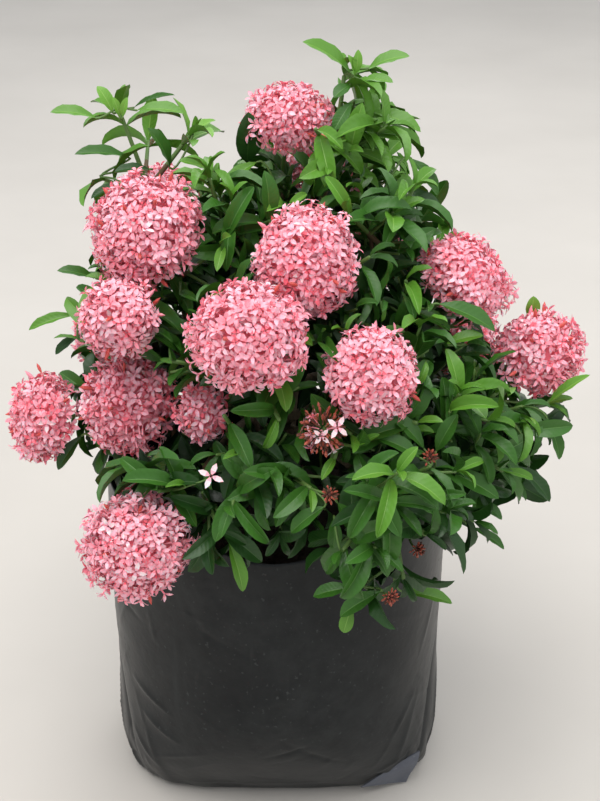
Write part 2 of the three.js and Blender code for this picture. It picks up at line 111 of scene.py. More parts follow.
# Masses that the sky shows through: how many of the starts grow a side twig, and how far down leaves go
FULL_MASS = (4, 100)
OPEN_MASSES = {
    "left_leader": (0, 14),
    "crown_tip": (2, 50),
    "crown_left": (2, 50),
    "crown_right": (2, 50),
    "crown_head": (2, 50),
    "left_edge": (2, 80),
    "far_left": (2, 80),
}
TIP_GROWTH = 12  # how far a shoot's own tip grows on
LEAF_LENGTH, LEAF_WIDTH = 42, 15.5
LEAF_ROOM = 4
VIEW_SIGHT = 110  # how far the air in front of a head at the front of the crown stays open
FRONT_HEADS = 45  # the depth at which those end
# Pairs of leaves, down from a tip: how far down, how wide open, and their share of the full size
PAIRS = (
    (0, 0.3, 0.5),
    (3, 0.75, 0.85),
    (9, 1.05, 1),
    (17, 1.25, 1),
    (26, 1.4, 0.95),
    (37, 1.5, 0.9),
    (50, 1.55, 0.85),
    (64, 1.55, 0.8),
    (79, 1.55, 0.8),
)
COLLAR_PAIRS = (
    (3, 1.45, 0.9),
    (11, 1.3, 1),
    (22, 1.35, 1),
    (35, 1.45, 0.95),
    (50, 1.5, 0.9),
    (66, 1.5, 0.85),
)
# Leaves that stand out singly in the photograph, by tone: base, tip and share of a leaf's width.
# Their places were picked by eye in the photograph, and a scratch program gave them in millimetres.
KEY_LEAVES = {
    "young": (
        (-109, 32, 497, -119, 36, 514, 0.9), (-103, 20, 497, -107, 20, 511, 0.5),
        (-101, 20, 497, -97, 20, 511, 0.5), (54, 22, 526, 55, 22, 542, 0.6), (53, 22, 524, 48, 20, 539, 0.5),
        (186, -46, 317, 212, -50, 341, 0.6), (177, 0, 360, 178, 0, 377, 1.0),
    ),
    "light": (
        (-119, 22, 496, -149, 18, 501, 0.95), (-92, 26, 500, -59, 22, 499, 0.95),
        (50, 24, 526, 18, 18, 548, 1.05), (62, 24, 529, 89, 20, 538, 1.1), (58, 20, 522, 78, 10, 523, 0.9),
        (65, 18, 501, 97, 6, 491, 1.05), (-134, -28, 375, -166, -34, 366, 0.75),
        (85, -126, 218, 119, -124, 207, 0.8), (50, -158, 229, 45, -160, 209, 0.9),
        (-12, 14, 468, -36, 0, 453, 0.9), (-41, 16, 460, -64, 8, 471, 0.9),
        (113, -60, 368, 137, -64, 376, 0.9), (-29, -134, 262, -20, -140, 227, 0.8),
    ),
    "mid": (
        (-95, 36, 499, -67, 42, 506, 0.45), (-99, 24, 468, -134, 12, 474, 0.8),
        (-71, 20, 462, -84, 10, 493, 1.1), (50, 20, 519, 39, 10, 513, 0.9), (51, 16, 508, 39, 4, 492, 0.9),
        (91, 6, 473, 109, 0, 449, 1.0), (-120, -20, 398, -145, -26, 406, 0.85),
        (183, -60, 313, 193, -66, 284, 0.9), (134, -86, 243, 156, -92, 229, 0.7),
        (136, -80, 261, 154, -86, 249, 0.8), (50, -160, 244, 25, -158, 236, 1.0),
        (68, -164, 244, 42, -166, 226, 1.1), (32, -160, 304, 11, -162, 286, 1.05),
        (40, -160, 307, 49, -162, 288, 0.95), (38, -156, 294, 38, -158, 272, 0.9),
        (92, -134, 324, 63, -134, 339, 1.05), (95, -126, 326, 72, -124, 350, 1.05),
        (103, -124, 323, 116, -120, 348, 1.0), (107, -56, 395, 145, -60, 377, 1.0),
    ),
    "dark": (
        (-84, 14, 463, -107, 6, 464, 0.7), (-104, 10, 454, -123, 0, 447, 0.6),
        (85, 0, 453, 112, -6, 441, 0.9), (-133, -30, 360, -149, -34, 348, 0.7),
        (-134, -40, 289, -151, -50, 267, 0.9), (164, -70, 282, 187, -78, 258, 1.0),
        (-19, 22, 465, -17, 14, 503, 1.4), (118, -50, 355, 144, -56, 360, 1.0),
        (138, -30, 348, 130, -30, 373, 1.1),
    ),
}
# Small unopened clusters on stalks of their own, place and number of buds, and single open flowers,
# placed in the same way as the leaves
BUD_CLUSTERS = ((97, -132, 323, 22), (35, -160, 313, 20), (91, -140, 261, 24), (73, -164, 241, 30))
LONE_STARS = ((-38, -150, 320),)
MARK_ROOM, MARK_SIGHT = 8, 45  # the air that stays open before each of them
# Where the photograph shows sky beside the left leader: no twig ends there and no leaf grows there
SKY_PLACES = ((-149, 20, 450), (-141, 20, 468), (-133, 20, 461), (-122, 20, 490))
SKY_ROOM, SKY_SIGHT = 10, 60
KEY_STALK = 0.8
TOWARDS_EYE = (0.1, -0.45, 0.9)  # the way that those leaves face, as near as may be
# What a leaf without room tries in turn: shares of its angle and size, and a turn round the twig
LEAF_TRIES = ((1, 1, 0), (0.75, 0.95, 0), (1.1, 0.92, 0.6), (1.1, 0.92, -0.6), (0.5, 0.85, 0), (0.9, 0.72, 0))


def unit(v):
    return v / np.linalg.norm(v)


def unit_rows(rows):
    return rows / np.linalg.norm(rows, axis=1)[:, None]


def lerp(a, b, t):
    return a + (b - a) * t


def make_random(seed):
    """Park and Miller's generator, as in the source."""
    state = seed * 7919

    def draw():
        nonlocal state
        state = state * 48271 % 2147483647
        return state / 2147483647

    return draw


class Bezier:
    """A curve of two to four control points."""

    def __init__(self, *controls):
        self.controls = np.array(controls, float)

    def point(self, t):
        points = self.controls
        while len(points) > 1:
            points = points[:-1] * (1 - t) + points[1:] * t
        return points[0]

    def points(self, steps):
        return np.array([self.point(i / steps) for i in range(steps + 1)])

    def tangent(self, t):
        return unit(self.point(min(1, t + 1e-4)) - self.point(max(0, t - 1e-4)))

    def length(self):
        return np.linalg.norm(np.diff(self.points(60), axis=0), axis=1).sum()

    def capsules(self, radius, steps=4):
        """Rows of a start, an end and a radius, for measuring distances to the curve."""
        points = self.points(steps)
        return np.column_stack((points[:-1], points[1:], np.full(steps, radius)))


def bow(start, end, rise):
    return Bezier(start, (np.array(start) + end) / 2 + UP * rise, end)


def gaps(points, rows):
    """Each point's distance to the nearest capsule."""
    start, along = rows[:, :3], rows[:, 3:6] - rows[:, :3]
    offset = np.atleast_2d(points)[:, None] - start
    share = np.clip((offset * along).sum(2) / (along**2).sum(1), 0, 1)
    return (np.linalg.norm(offset - share[..., None] * along, axis=2) - rows[:, 6]).min(1)


def clear_of_bag(points, room):
    points = np.atleast_2d(points)
    over = points[:, 2] > BAG_HEIGHT + room
    return bool((over | (np.hypot(points[:, 0], points[:, 1]) > BAG_RADIUS + room)).all())


def turned(axis, tilt, around):
    """A direction turned from axis by tilt, at a place round it."""
    side = unit(np.cross((0, 1, 0.3), axis))
    other = np.cross(axis, side)
    return math.cos(tilt) * axis + math.sin(tilt) * (math.cos(around) * side + math.sin(around) * other)


def outward(place, lift):
    return unit(unit(place - CROWN_CORE) + UP * lift)


class Mass:
    """One mass of foliage: its space, its twigs and its heads of blossom."""

    def __init__(self, name, bough, hub, reach, shoots, lift, seed, heads):
        self.name, self.bough, self.reach, self.shoots, self.lift = name, bough, reach, shoots, lift
        self.hub = np.array(hub, float)
        self.random = make_random(seed)
        self.fine_random = make_random(seed + 500)
        self.balls = [self.make_ball(*head) for head in heads]
        self.tips, self.twigs, self.leaves, self.key_leaves = [], [], [], []

    def make_ball(self, x, y, z, radius):
        centre = np.array([x, y, z], float)
        axis = unit(lerp(outward(centre, 0.55), unit(centre - self.hub), 0.4))
        return {"centre": centre, "radius": radius, "axis": axis, "mass": self.name}

    def add_twig(self, curve, base, tip, ball=None, level=0):
        self.twigs.append({"curve": curve, "base": base, "tip": tip, "ball": ball, "level": level})

    def grow_leader(self, foot, foot_way):
        """The leader grows on from its bough's tip past the hub, to its first head or to a leafy tip."""
        start = foot + foot_way * GAP
        bend = start + foot_way * np.linalg.norm(start - self.hub) * 0.5
        ends = [ball["centre"] - ball["axis"] * ball["radius"] * HEAD_STEM for ball in self.balls]
        first = self.balls[0] if self.balls else None
        end = ends[0] if ends else self.hub + outward(self.hub, self.lift) * self.reach * 0.75
        self.leader = Bezier(start, bend, self.hub, end)
        self.add_twig(self.leader, SIDE_TIP, SHOOT_TIP, first)
        for ball, place in zip(self.balls[1:], ends[1:]):
            self.add_twig(bow(self.leader.point(0.5), place, 0), SHOOT_BASE, SHOOT_TIP, ball)
        if not self.balls:
            self.tips.append(end)
        claims = [(*b["centre"], *(b["centre"] + UP * 0.01), b["radius"] * HEAD_CLAIM) for b in self.balls]
        wood = [twig["curve"].capsules(SHOOT_BASE) for twig in self.twigs]
        self.wood = np.vstack(wood + ([np.array(claims)] if claims else []))

    def try_shoot(self, crown):
        """One more leafy shoot, if the random way that it turns leads into free space."""
        random = self.random
        tilt = SHOOT_SPREAD * math.sqrt(random())
        direction = turned(outward(self.hub, self.lift), tilt, random() * TURN)
        length = self.reach * (0.7 + 0.3 * random())
        start = self.leader.point(0.3 + 0.4 * (len(self.tips) + 0.5) / self.shoots)
        end = self.hub + direction * length
        curve = bow(start, end, 0)
        places = np.array([curve.point(t) for t in (0.5, 0.75, 1)])
        others = crown.others_wood(self)
        if not (gaps(places, others) > (PASS_ROOM, PASS_ROOM, OTHER_ROOM)).all():
            return
        if gaps(places, crown.limb_rows).min() <= 5 or gaps(places, crown.sight_rows).min() <= 4:
            return
        if not clear_of_bag(places, 8):
            return
        if any(np.linalg.norm(tip - end) < OWN_ROOM for tip in self.tips):
            return
        self.tips.append(end)
        self.add_twig(curve, SHOOT_BASE, SHOOT_TIP)
        self.wood = np.vstack((self.wood, curve.capsules(SHOOT_BASE)))

    def grow_tips(self, crown):
        """Each shoot without a head grows straight on, if the way is free."""
        others = crown.others_wood(self)
        for twig in self.twigs:
            if twig["ball"]:
                continue
            curve = twig["curve"]
            longer = Bezier(*curve.controls[:-1], curve.point(1) + curve.tangent(1) * TIP_GROWTH)
            place = longer.point(1)
            if (gaps(place, self.wood) < gaps(place, others)).all() and crown.is_open(place, 4):
                twig["curve"] = longer

    def grow_side_twigs(self, crown):
        """Finer twigs from every leader and shoot and the bough itself, turning round by the golden angle."""
        random = self.fine_random
        others = crown.others_wood(self)
        starts = TWIG_STARTS[: OPEN_MASSES.get(self.name, FULL_MASS)[0]]
        bearers = [(twig["curve"], starts) for twig in self.twigs] + [(self.side_bough, BOUGH_STARTS)]
        for curve, places_along in bearers:
            around = random() * TURN
            for t in places_along:
                for _ in range(3):
                    around += GOLDEN_ANGLE
                    direction = turned(curve.tangent(t), 0.75 + 0.45 * random(), around)
                    length = lerp(*TWIG_LENGTH, random())
                    start = curve.point(t)
                    branch = bow(start, start + direction * length + UP * 3, -1)
                    places = np.array([branch.point(0.6), branch.point(1)])
                    inside = gaps(places, self.wood) + 2 < gaps(places, others)
                    if inside.all() and crown.is_open(places, 4) and crown.twig_room(places):
                        self.add_twig(branch, TWIG_BASE, TWIG_TIP, level=1)
                        crown.twig_places.extend(places)
                        break

    def grow_leaves(self, crown):
        """Opposite pairs of leaves from each twig's tip down, each pair turned a quarter from the last."""
        random = self.fine_random
        others = crown.others_wood(self)
        taken = crown.key_places
        for number, twig in enumerate(self.twigs):
            curve, ball = twig["curve"], twig["ball"]
            length = curve.length()
            end = length - ball["radius"] * (1 - HEAD_STEM) if ball else length
            first = random() * math.pi
            tone = random()
            for pair, (down, opening, size) in enumerate(COLLAR_PAIRS if ball else PAIRS):
                t = (end - down) / length
                if t < 0.12 or down > OPEN_MASSES.get(self.name, FULL_MASS)[1]:
                    break
                tilt = opening + 0.25 * random()
                for side in (0, math.pi):
                    around = first + pair * math.pi / 2 + side + 0.3 * (random() - 0.5)
                    share = size * (0.86 + 0.22 * random())
                    found = self.find_room(crown, others, taken, curve, t, tilt, around, share)
                    if found:
                        leaf, samples = found
                        leaf.update(pair=pair, twig=number, tone=tone, level=twig["level"], collar=bool(ball))
                        self.leaves.append(leaf)
                        taken = np.vstack((taken, samples))

    def find_room(self, crown, others, taken, curve, t, tilt, around, share):
        """The first way of placing a leaf that stays in the mass's space and touches nothing."""
        for tilt_share, size_share, turn in LEAF_TRIES:
            leaf = leaf_at(curve, t, tilt * tilt_share, around + turn, share * size_share)
            samples = leaf_samples(leaf)
            if not (gaps(samples, self.wood) < gaps(samples, others)).all():
                continue
            if not crown.is_open(samples, 1):
                continue
            if np.linalg.norm(samples[:, None] - taken, axis=2).min() < LEAF_ROOM:
                continue
            return leaf, samples
        return None


def leaf_at(curve, t, tilt, around, share):
    axis = curve.tangent(t)
    direction = turned(axis, tilt, around)
    facing = unit(axis + UP * 0.7)
    normal = unit(facing - facing.dot(direction) * direction)
    size = LEAF_LENGTH * share
    return {"base": curve.point(t), "direction": direction, "normal": normal, "size": size}


def key_leaf(numbers, tone):
    base, tip, width = np.array(numbers[:3], float), np.array(numbers[3:6], float), numbers[6]
    way = tip - base
    size = np.linalg.norm(way)
    normal = unit(TOWARDS_EYE - way * np.dot(TOWARDS_EYE, way) / size**2)
    leaf = {"base": base, "direction": way / size, "normal": normal, "size": size}
    return leaf | {"width": width, "tone": list(LEAF_TONES).index(tone)}


def leaf_samples(leaf):
    """Places over a leaf at which its room is tested: four on its margins, its middle and its tip."""
    side = np.cross(leaf["direction"], leaf["normal"])
    half = LEAF_WIDTH / LEAF_LENGTH * leaf["size"] / 2
    places = ((0.4, 1), (0.4, -1), (0.72, 0.85), (0.72, -0.85), (0.55, 0), (1, 0))
    way = leaf["direction"] * leaf["size"]
    return np.array([leaf["base"] + way * t + side * half * s for t, s in places])


class Crown:
    """All the masses, and the rows of capsules that they grow clear of."""

    def __init__(self):
        self.limbs, self.masses = [], [Mass(name, *values) for name, values in MASSES.items()]
        self.twig_places = []
        self.grow_limbs()
        rows = [limb["curve"].capsules(limb["base"]) for limb in self.limbs]
        self.limb_rows = np.vstack([*rows[1:], rows[0]])
        balls = [ball for mass in self.masses for ball in mass.balls]
        ends = [ball["centre"] + ball["axis"] * HEAD_SIGHT for ball in balls]
        self.sight_rows = np.array([(*b["centre"], *end, b["radius"]) for b, end in zip(balls, ends)])
        to_camera = unit(np.array(CAMERA_PLACE) - CROWN_CORE)
        views = [(b["centre"], VIEW_SIGHT, b["radius"] * 0.95) for b in balls if b["centre"][1] < FRONT_HEADS]
        views += [(np.array(mark[:3]), MARK_SIGHT, MARK_ROOM) for mark in BUD_CLUSTERS + LONE_STARS]
        self.key_leaves = [key_leaf(numbers, tone) for tone, rows in KEY_LEAVES.items() for numbers in rows]
        front = [leaf for leaf in self.key_leaves if leaf["base"][1] < 0]
        middles = [leaf["base"] + leaf["direction"] * leaf["size"] * 0.6 for leaf in front]
        views += [(middle, MARK_SIGHT, MARK_ROOM / 2) for middle in middles]
        skies = [(np.array(place) - to_camera * SKY_SIGHT, 2 * SKY_SIGHT, SKY_ROOM) for place in SKY_PLACES]
        views = skies + views
        rows = [(*place, *(place + to_camera * sight), room) for place, sight, room in views]
        self.view_rows = np.array(rows)

    def add_limb(self, name, curve, base, tip):
        self.limbs.append({"name": name, "curve": curve, "base": base, "tip": tip})
        return self.limbs[-1]

    def grow_limbs(self):
        """The trunk, the main boughs, and a side bough to each mass."""
        trunk = Bezier(TRUNK_FOOT, TRUNK_TOP)
        self.add_limb("trunk", trunk, TRUNK_BASE, TRUNK_TIP)
        parents = {}
        for i, (name, (end, arch)) in enumerate(MAIN_BOUGHS.items()):
            start = trunk.point(0.72 + 0.28 * i / (len(MAIN_BOUGHS) - 1))
            parents[name] = self.add_limb(name, bow(start, end, arch), MAIN_BASE, MAIN_TIP)["curve"]
        orders = dict.fromkeys(MAIN_BOUGHS, 0)
        for mass in self.masses:
            start = parents[mass.bough].point(1 - 0.11 * orders[mass.bough])
            orders[mass.bough] += 1
            end = lerp(start, mass.hub, SIDE_SHARE) + UP * 4
            curve = bow(start, end, 5)
            self.add_limb("bough_to_" + mass.name, curve, SIDE_BASE, SIDE_TIP)
            mass.side_bough = curve
            mass.grow_leader(end, curve.tangent(1))

    def others_wood(self, mass):
        return np.vstack([other.wood for other in self.masses if other is not mass])

    def is_open(self, places, room):
        """True if nothing there would touch a limb or the bag, or hide a head."""
        rows = np.vstack((self.limb_rows, self.sight_rows, self.view_rows))
        return gaps(places, rows).min() > room and clear_of_bag(places, room + 2)

    def in_sky(self, place):
        return gaps(place, self.view_rows[: len(SKY_PLACES)]).min() < 0

    def twig_room(self, places):
        """True if no side twig's tip is near."""
        near = self.twig_places
        return not near or np.linalg.norm(np.array(near)[:, None] - places[-1], axis=2).min() > 9

    def stalk_to(self, place, way):
        """A fine stalk to a place from the leafy twig that ends nearest to it, and the mass of that twig."""
        mass, curve = self.bearers[int(np.argmin(np.linalg.norm(self.ends - place, axis=1)))]
        start = curve.point(1)
        span = np.linalg.norm(place - start) / 3
        return mass, Bezier(start, start + curve.tangent(1) * span, place - way * span, place)

    def is_kept(self, twig):
        return twig["ball"] or not self.in_sky(twig["curve"].point(1))

    def place_key_leaves(self):
        """Each leaf that stands out singly grows on a stalk of its own."""
        twigs = [(mass, twig) for mass in self.masses for twig in mass.twigs]
        self.bearers = [(mass, twig["curve"]) for mass, twig in twigs if not twig["ball"]]
        self.ends = np.array([curve.point(1) for mass, curve in self.bearers])
        for leaf in self.key_leaves:
            mass, leaf["stalk"] = self.stalk_to(leaf["base"], leaf["direction"])
            mass.key_leaves.append(leaf)
        self.key_places = np.vstack([leaf_samples(leaf) for leaf in self.key_leaves])

    def grow(self):
        for _ in range(SHOOT_TRIES):
            for mass in self.masses:
                if len(mass.tips) < mass.shoots:
                    mass.try_shoot(self)
        for mass in self.masses:
            mass.grow_tips(self)
            mass.twigs = [twig for twig in mass.twigs if self.is_kept(twig)]
            mass.grow_side_twigs(self)
        self.place_key_leaves()
        for mass in self.masses:
            mass.grow_leaves(self)


class Pile:
    """Gathers the vertices and faces of one joined mesh, with a finish for every face."""

    def __init__(self):
        self.vertices, self.faces, self.finishes, self.uvs, self.count = [], [], [], [], 0

    def add(self, vertices, faces, finish=0, uv=None):
        """finish is a number or one for each face; uv is one pair for each vertex."""
        vertices = np.asarray(vertices, float)
        self.vertices.append(vertices)
        self.uvs.append(np.zeros((len(vertices), 2)) if uv is None else uv)
        self.count += len(vertices)
        self.add_faces(np.asarray(faces), finish)

    def add_faces(self, faces, finish):
        """Faces over the vertices that were added last."""
        self.faces.append(faces + self.count - len(self.vertices[-1]))
        self.finishes.append(np.broadcast_to(finish, len(faces)))

    def make(self, name, materials, slot=None, replaced=()):
        """The joined object, which rides on the part's body and stands for the CAD nodes that it replaces."""
        mesh = bpy.data.meshes.new(name)
        corners = np.concatenate([f.ravel() for f in self.faces])
        totals = np.concatenate([np.full(len(f), f.shape[1]) for f in self.faces])
        mesh.vertices.add(self.count)
        mesh.vertices.foreach_set("co", (np.concatenate(self.vertices) * MM).ravel())
        mesh.loops.add(len(corners))
        mesh.loops.foreach_set("vertex_index", corners)
        mesh.polygons.add(len(totals))
        mesh.polygons.foreach_set("loop_start", np.concatenate(([0], np.cumsum(totals)[:-1])))
        mesh.polygons.foreach_set("material_index", np.concatenate(self.finishes))
        mesh.polygons.foreach_set("use_smooth", np.ones(len(totals), bool))
        mesh.uv_layers.new(name="UVMap").data.foreach_set("uv", np.concatenate(self.uvs)[corners].ravel())
        mesh.update(calc_edges=True)
        mesh.validate()
        for material in materials:
            mesh.materials.append(material)
        piece = bpy.data.objects.new(name, mesh)
        bpy.context.scene.collection.objects.link(piece)
        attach(piece, "root")
        if replaced:
            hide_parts(*replaced)
        return piece


def grid_faces(rows, columns, closed=False):
    """Quads over a grid of rows and columns of vertices, closed round the columns for a tube."""
    index = np.arange(rows * columns).reshape(rows, columns)
    if closed:
        index = np.column_stack((index, index[:, 0]))
    return np.stack((index[:-1, :-1], index[:-1, 1:], index[1:, 1:], index[1:, :-1]), -1).reshape(-1, 4)


def scatter(pile, shape, places, frames, scales, tones, table):
    """A copy of a small shape at each place. A frame's rows are the shape's own x, y and z there."""
    if not len(places):
        return
    vertices, faces, kinds, uv = shape
    moved = np.einsum("nij,njk->nik", vertices[None] * np.asarray(scales)[:, None], np.asarray(frames))
    moved += np.asarray(places)[:, None]
    offsets = (np.arange(len(places)) * len(vertices))[:, None, None]
    finishes = np.asarray(table)[np.asarray(tones)][:, kinds]
    uvs = None if uv is None else np.tile(uv, (len(places), 1))
    pile.add(moved.reshape(-1, 3), (faces[None] + offsets).reshape(-1, 4), finishes.ravel(), uvs)


def scatter_variants(pile, shapes, variants, places, frames, scales, tones, table):
    """As scatter, with the shape that each place's variant names."""
    for number, shape in enumerate(shapes):
        chosen = variants == number
        scatter(pile, shape, places[chosen], frames[chosen], scales[chosen], tones[chosen], table)


def ring_about(angles, side, axis):
    """Directions round an axis at the angles, counted from side."""
    return np.cos(angles)[:, None] * side + np.sin(angles)[:, None] * np.cross(axis, side)


def tube(pile, points, radii, sides, finish=0):
    """A tapering tube along points with a pointed end, whose rings turn as little as they can."""
    points = np.asarray(points, float)
    tangents = np.gradient(points, axis=0)
    side = unit(np.cross(tangents[0], (0.3, 1, 0.2)))
    angles = np.arange(sides) / sides * TURN
    rings = []
    for point, tangent, radius in zip(points, tangents, radii):
        tangent = unit(tangent)
        side = unit(side - side.dot(tangent) * tangent)
        rings.append(point + radius * ring_about(angles, side, tangent))
    tip = points[-1:] + unit(tangents[-1]) * radii[-1]
    finishes = np.repeat(np.broadcast_to(finish, len(points) - 1), sides)
    pile.add(np.vstack([*rings, tip]), grid_faces(len(points), sides, closed=True), finishes)
    last = (len(points) - 1) * sides + np.arange(sides)
    cap = np.column_stack((last, np.roll(last, -1), np.full(sides, len(points) * sides)))
    pile.add_faces(cap, finishes[-1])


# Blades of leaves and petals

LEAF_ROWS = np.array([0, 0.05, 0.12, 0.22, 0.34, 0.47, 0.6, 0.73, 0.85, 0.94, 1])
LEAF_COLUMNS = np.array([-1, -0.55, -0.05, 0.05, 0.55, 1])
MIDRIB_COLUMN = 2


def leaf_shape(fold, lift, curl, ripple, phase):
    """A leaf along +x facing +z: folded along its midrib, arched by curl and rippled along its margins."""
    fine = np.linspace(0, 1, 101)
    slope = lift - curl * fine
    mid_x = np.interp(LEAF_ROWS, fine, np.cumsum(np.cos(slope)) / len(fine)) * LEAF_LENGTH
    mid_z = np.interp(LEAF_ROWS, fine, np.cumsum(np.sin(slope)) / len(fine)) * LEAF_LENGTH
    outline = LEAF_ROWS**0.95 * (1 - LEAF_ROWS) ** 0.8
    half = np.maximum(LEAF_WIDTH / 2 * outline / outline.max(), 0.45 * (1 - LEAF_ROWS))
    angle = (lift - curl * LEAF_ROWS)[:, None]
    across = np.abs(LEAF_COLUMNS)[None]
    wave = ripple * np.sin(LEAF_ROWS[:, None] * 17 + phase + 2 * (LEAF_COLUMNS[None] > 0)) * across**2
    rise = fold * half[:, None] * (across - 0.4 * across**2) + wave * half[:, None] / half.max()
    x = mid_x[:, None] - np.sin(angle) * rise
    z = mid_z[:, None] + np.cos(angle) * rise
    y = half[:, None] * LEAF_COLUMNS[None] * math.cos(fold * 0.6)
    vertices = np.stack((x, y, z), -1).reshape(-1, 3)
    faces = grid_faces(len(LEAF_ROWS), len(LEAF_COLUMNS))
    kinds = np.tile(np.arange(len(LEAF_COLUMNS) - 1) == MIDRIB_COLUMN, len(LEAF_ROWS) - 1).astype(int)
    rows, columns = np.meshgrid(LEAF_ROWS, LEAF_COLUMNS, indexing="ij")
    return vertices, faces, kinds, np.column_stack((rows.ravel(), columns.ravel() / 2 + 0.5))


LEAF_SHAPES = [
    leaf_shape(0.9, 0.2, 0.8, 0.6, 0),
    leaf_shape(1.2, 0.3, 1.2, 0.8, 1.3),
    leaf_shape(0.7, 0.1, 0.6, 0.8, 2.1),
    leaf_shape(1.4, 0.35, 1.6, 0.6, 3.4),
    leaf_shape(1.0, 0.0, 1.0, 1.1, 4.2),
    leaf_shape(1.25, 0.1, 1.35, 0.5, 5.1),
]

KEY_SHAPE = leaf_shape(0.8, 0.3, 0.6, 0.7, 1.0)

PETAL_LENGTH, PETAL_WIDTH = 5.9, 2.7
PETAL_ROWS = np.array([0.05, 0.34, 0.68, 1])
PETAL_HALVES = np.array([0.32, 0.95, 0.9, 0.05])  # its half width at each row, as a share of the widest
FLORET_TUBE = 15
# Kinds of face of a floret
PETAL, THROAT, TUBE = range(3)


def petal_points(opening, curl):
    """One petal's rows of three points, opened from the tube's axis by opening and curled back by curl."""
    slope = opening + curl * PETAL_ROWS
    steps = np.diff(PETAL_ROWS, prepend=0)
    out = 0.5 + np.cumsum(np.sin(slope) * steps) * PETAL_LENGTH
    rise = np.cumsum(np.cos(slope) * steps) * PETAL_LENGTH
    half = PETAL_WIDTH / 2 * PETAL_HALVES
    keel = 0.28 * half
    rows = np.stack(((out, -half, rise + keel), (out, 0 * half, rise), (out, half, rise + keel)))
    return rows.transpose(2, 0, 1).reshape(-1, 3)


def floret_shape(opening, curl):
    """Four petals and a slender tube. The tube's mouth is at the origin and its axis is +z."""
    petal = petal_points(opening, curl)
    faces, kinds, vertices = [], [], []
    petal_faces = grid_faces(len(PETAL_ROWS), 3)
    petal_kinds = np.where(np.arange(len(petal_faces)) < 2, THROAT, PETAL)
    for quarter in range(4):
        turn = quarter * TURN / 4
        cosine, sine = math.cos(turn), math.sin(turn)
        rotated = petal @ np.array([[cosine, sine, 0], [-sine, cosine, 0], [0, 0, 1]])
        faces.append(petal_faces + quarter * len(petal))
        kinds.append(petal_kinds)
        vertices.append(rotated)
    for r, z in ((0.45, -FLORET_TUBE), (0.75, 0.2)):
        vertices.append([(r, 0, z), (0, r, z), (-r, 0, z), (0, -r, z)])
    faces.append(grid_faces(2, 4, closed=True) + 4 * len(petal))
    kinds.append(np.full(4, TUBE))
    return np.vstack(vertices), np.vstack(faces), np.concatenate(kinds), None


FLORET_WAYS = ((1.0, 0.5), (1.3, 0.35), (0.65, 0.7), (1.2, 0.9), (0.85, 0.2))
FLORET_SHAPES = [floret_shape(*way) for way in FLORET_WAYS]


def bud_shape():
    """A closed flower: a slim tube that swells into a pointed tip."""
    profile = ((0.45, -FLORET_TUBE * 0.8), (0.6, -2), (1.35, 1.5), (1.15, 4), (0.1, 6.5))
    rings = [[(r * math.cos(a), r * math.sin(a), z) for a in np.arange(5) / 5 * TURN] for r, z in profile]
    kinds = np.repeat([1, 0, 0, 0], 5)
    return np.array(rings).reshape(-1, 3), grid_faces(len(profile), 5, closed=True), kinds, None


BUD_SHAPE = bud_shape()

# Tones of the petals, dealt out floret by floret, as sRGB
PETAL_TONES = {
    "cream": (255, 222, 226),
    "blush": (255, 200, 211),
    "pink": (255, 186, 201),
    "rose": (255, 173, 189),
    "coral": (255, 157, 173),
    "deep": (248, 114, 132),
}
# The rest of the blossom's colours, in the order of their finishes
OTHER_BLOSSOM = {
    "throat": (255, 150, 166),
    "tube": (255, 168, 182),
    "core": (255, 136, 154),
    "bud": (212, 90, 82),
    "bud_brown": (96, 46, 26),
    "bud_red": (176, 84, 62),
}
# The share of each tone in a kind of bloom, and of buds among its flowers
BLOOMS = {
    "full": ((0.01, 0.12, 0.37, 0.34, 0.14, 0.02), 0.05),
    "pale": ((0.06, 0.24, 0.36, 0.22, 0.11, 0.01), 0.04),
    # The deep bloom is painted shade: deeper tones for heads that sit in the shade of others
    "deep": ((0.03, 0.14, 0.32, 0.29, 0.13, 0.09), 0.08),
}
# Heads with a bloom other than full. The deep ones carry painted shade, as they sit low or behind other heads
HEAD_BLOOMS = {
    "low_left0": "pale",
    "left_low0": "deep",
    "far_left0": "deep",
    "centre1": "deep",
    "centre_right1": "budding",
}
FLORETS_PER_SQUARE_MM = 0.45  # of a head's squared radius
# How far out a head's florets stand, as shares of its radius, and the part of them at each
LAYERS = (0.83, 0.89, 0.95, 1.01, 1.08)
LAYER_PARTS = (0.2, 0.27, 0.32, 0.16, 0.05)
# Down to where a head, a head in bud and a cluster bear flowers, as the cosine of the angle from their axis
HEAD_FOOT, BUDDING_FOOT, CLUSTER_FOOT = -0.7, -0.35, -0.1


def frames_about(facings, rolls):
    """Frames whose z rows are the facings, rolled about them."""
    side = unit_rows(np.cross(facings, (0.31, 0.87, 0.38)))
    other = np.cross(facings, side)
    x = np.cos(rolls)[:, None] * side + np.sin(rolls)[:, None] * other
    return np.stack((x, np.cross(facings, x), facings), 1)


def frame_about(facing):
    return frames_about(facing[None], np.zeros(1))[0]


def ball_directions(count, axis, foot):
    """Even directions over a ball about its axis, apart from those round its underside."""
    height = 1 - 2 * (np.arange(count) + 0.5) / count
    around = np.arange(count) * GOLDEN_ANGLE
    flat = np.sqrt(1 - height**2)
    local = np.column_stack((flat * np.cos(around), flat * np.sin(around), height))
    return (local @ frame_about(axis))[height > foot]


def loose_directions(count, axis, foot, looseness, random):
    directions = ball_directions(count, axis, foot)
    return unit_rows(directions + random.normal(0, looseness, directions.shape))


def ball_grid(heights, columns, shares):
    """Rings of points at the heights on a ball of radius 1, each moved out by its share."""
    around = np.arange(columns) / columns * TURN
    flat = np.sqrt(1 - heights**2)[:, None]
    rings = np.stack((flat * np.cos(around), flat * np.sin(around), heights[:, None] + 0 * around), -1)
    return rings * shares[..., None]


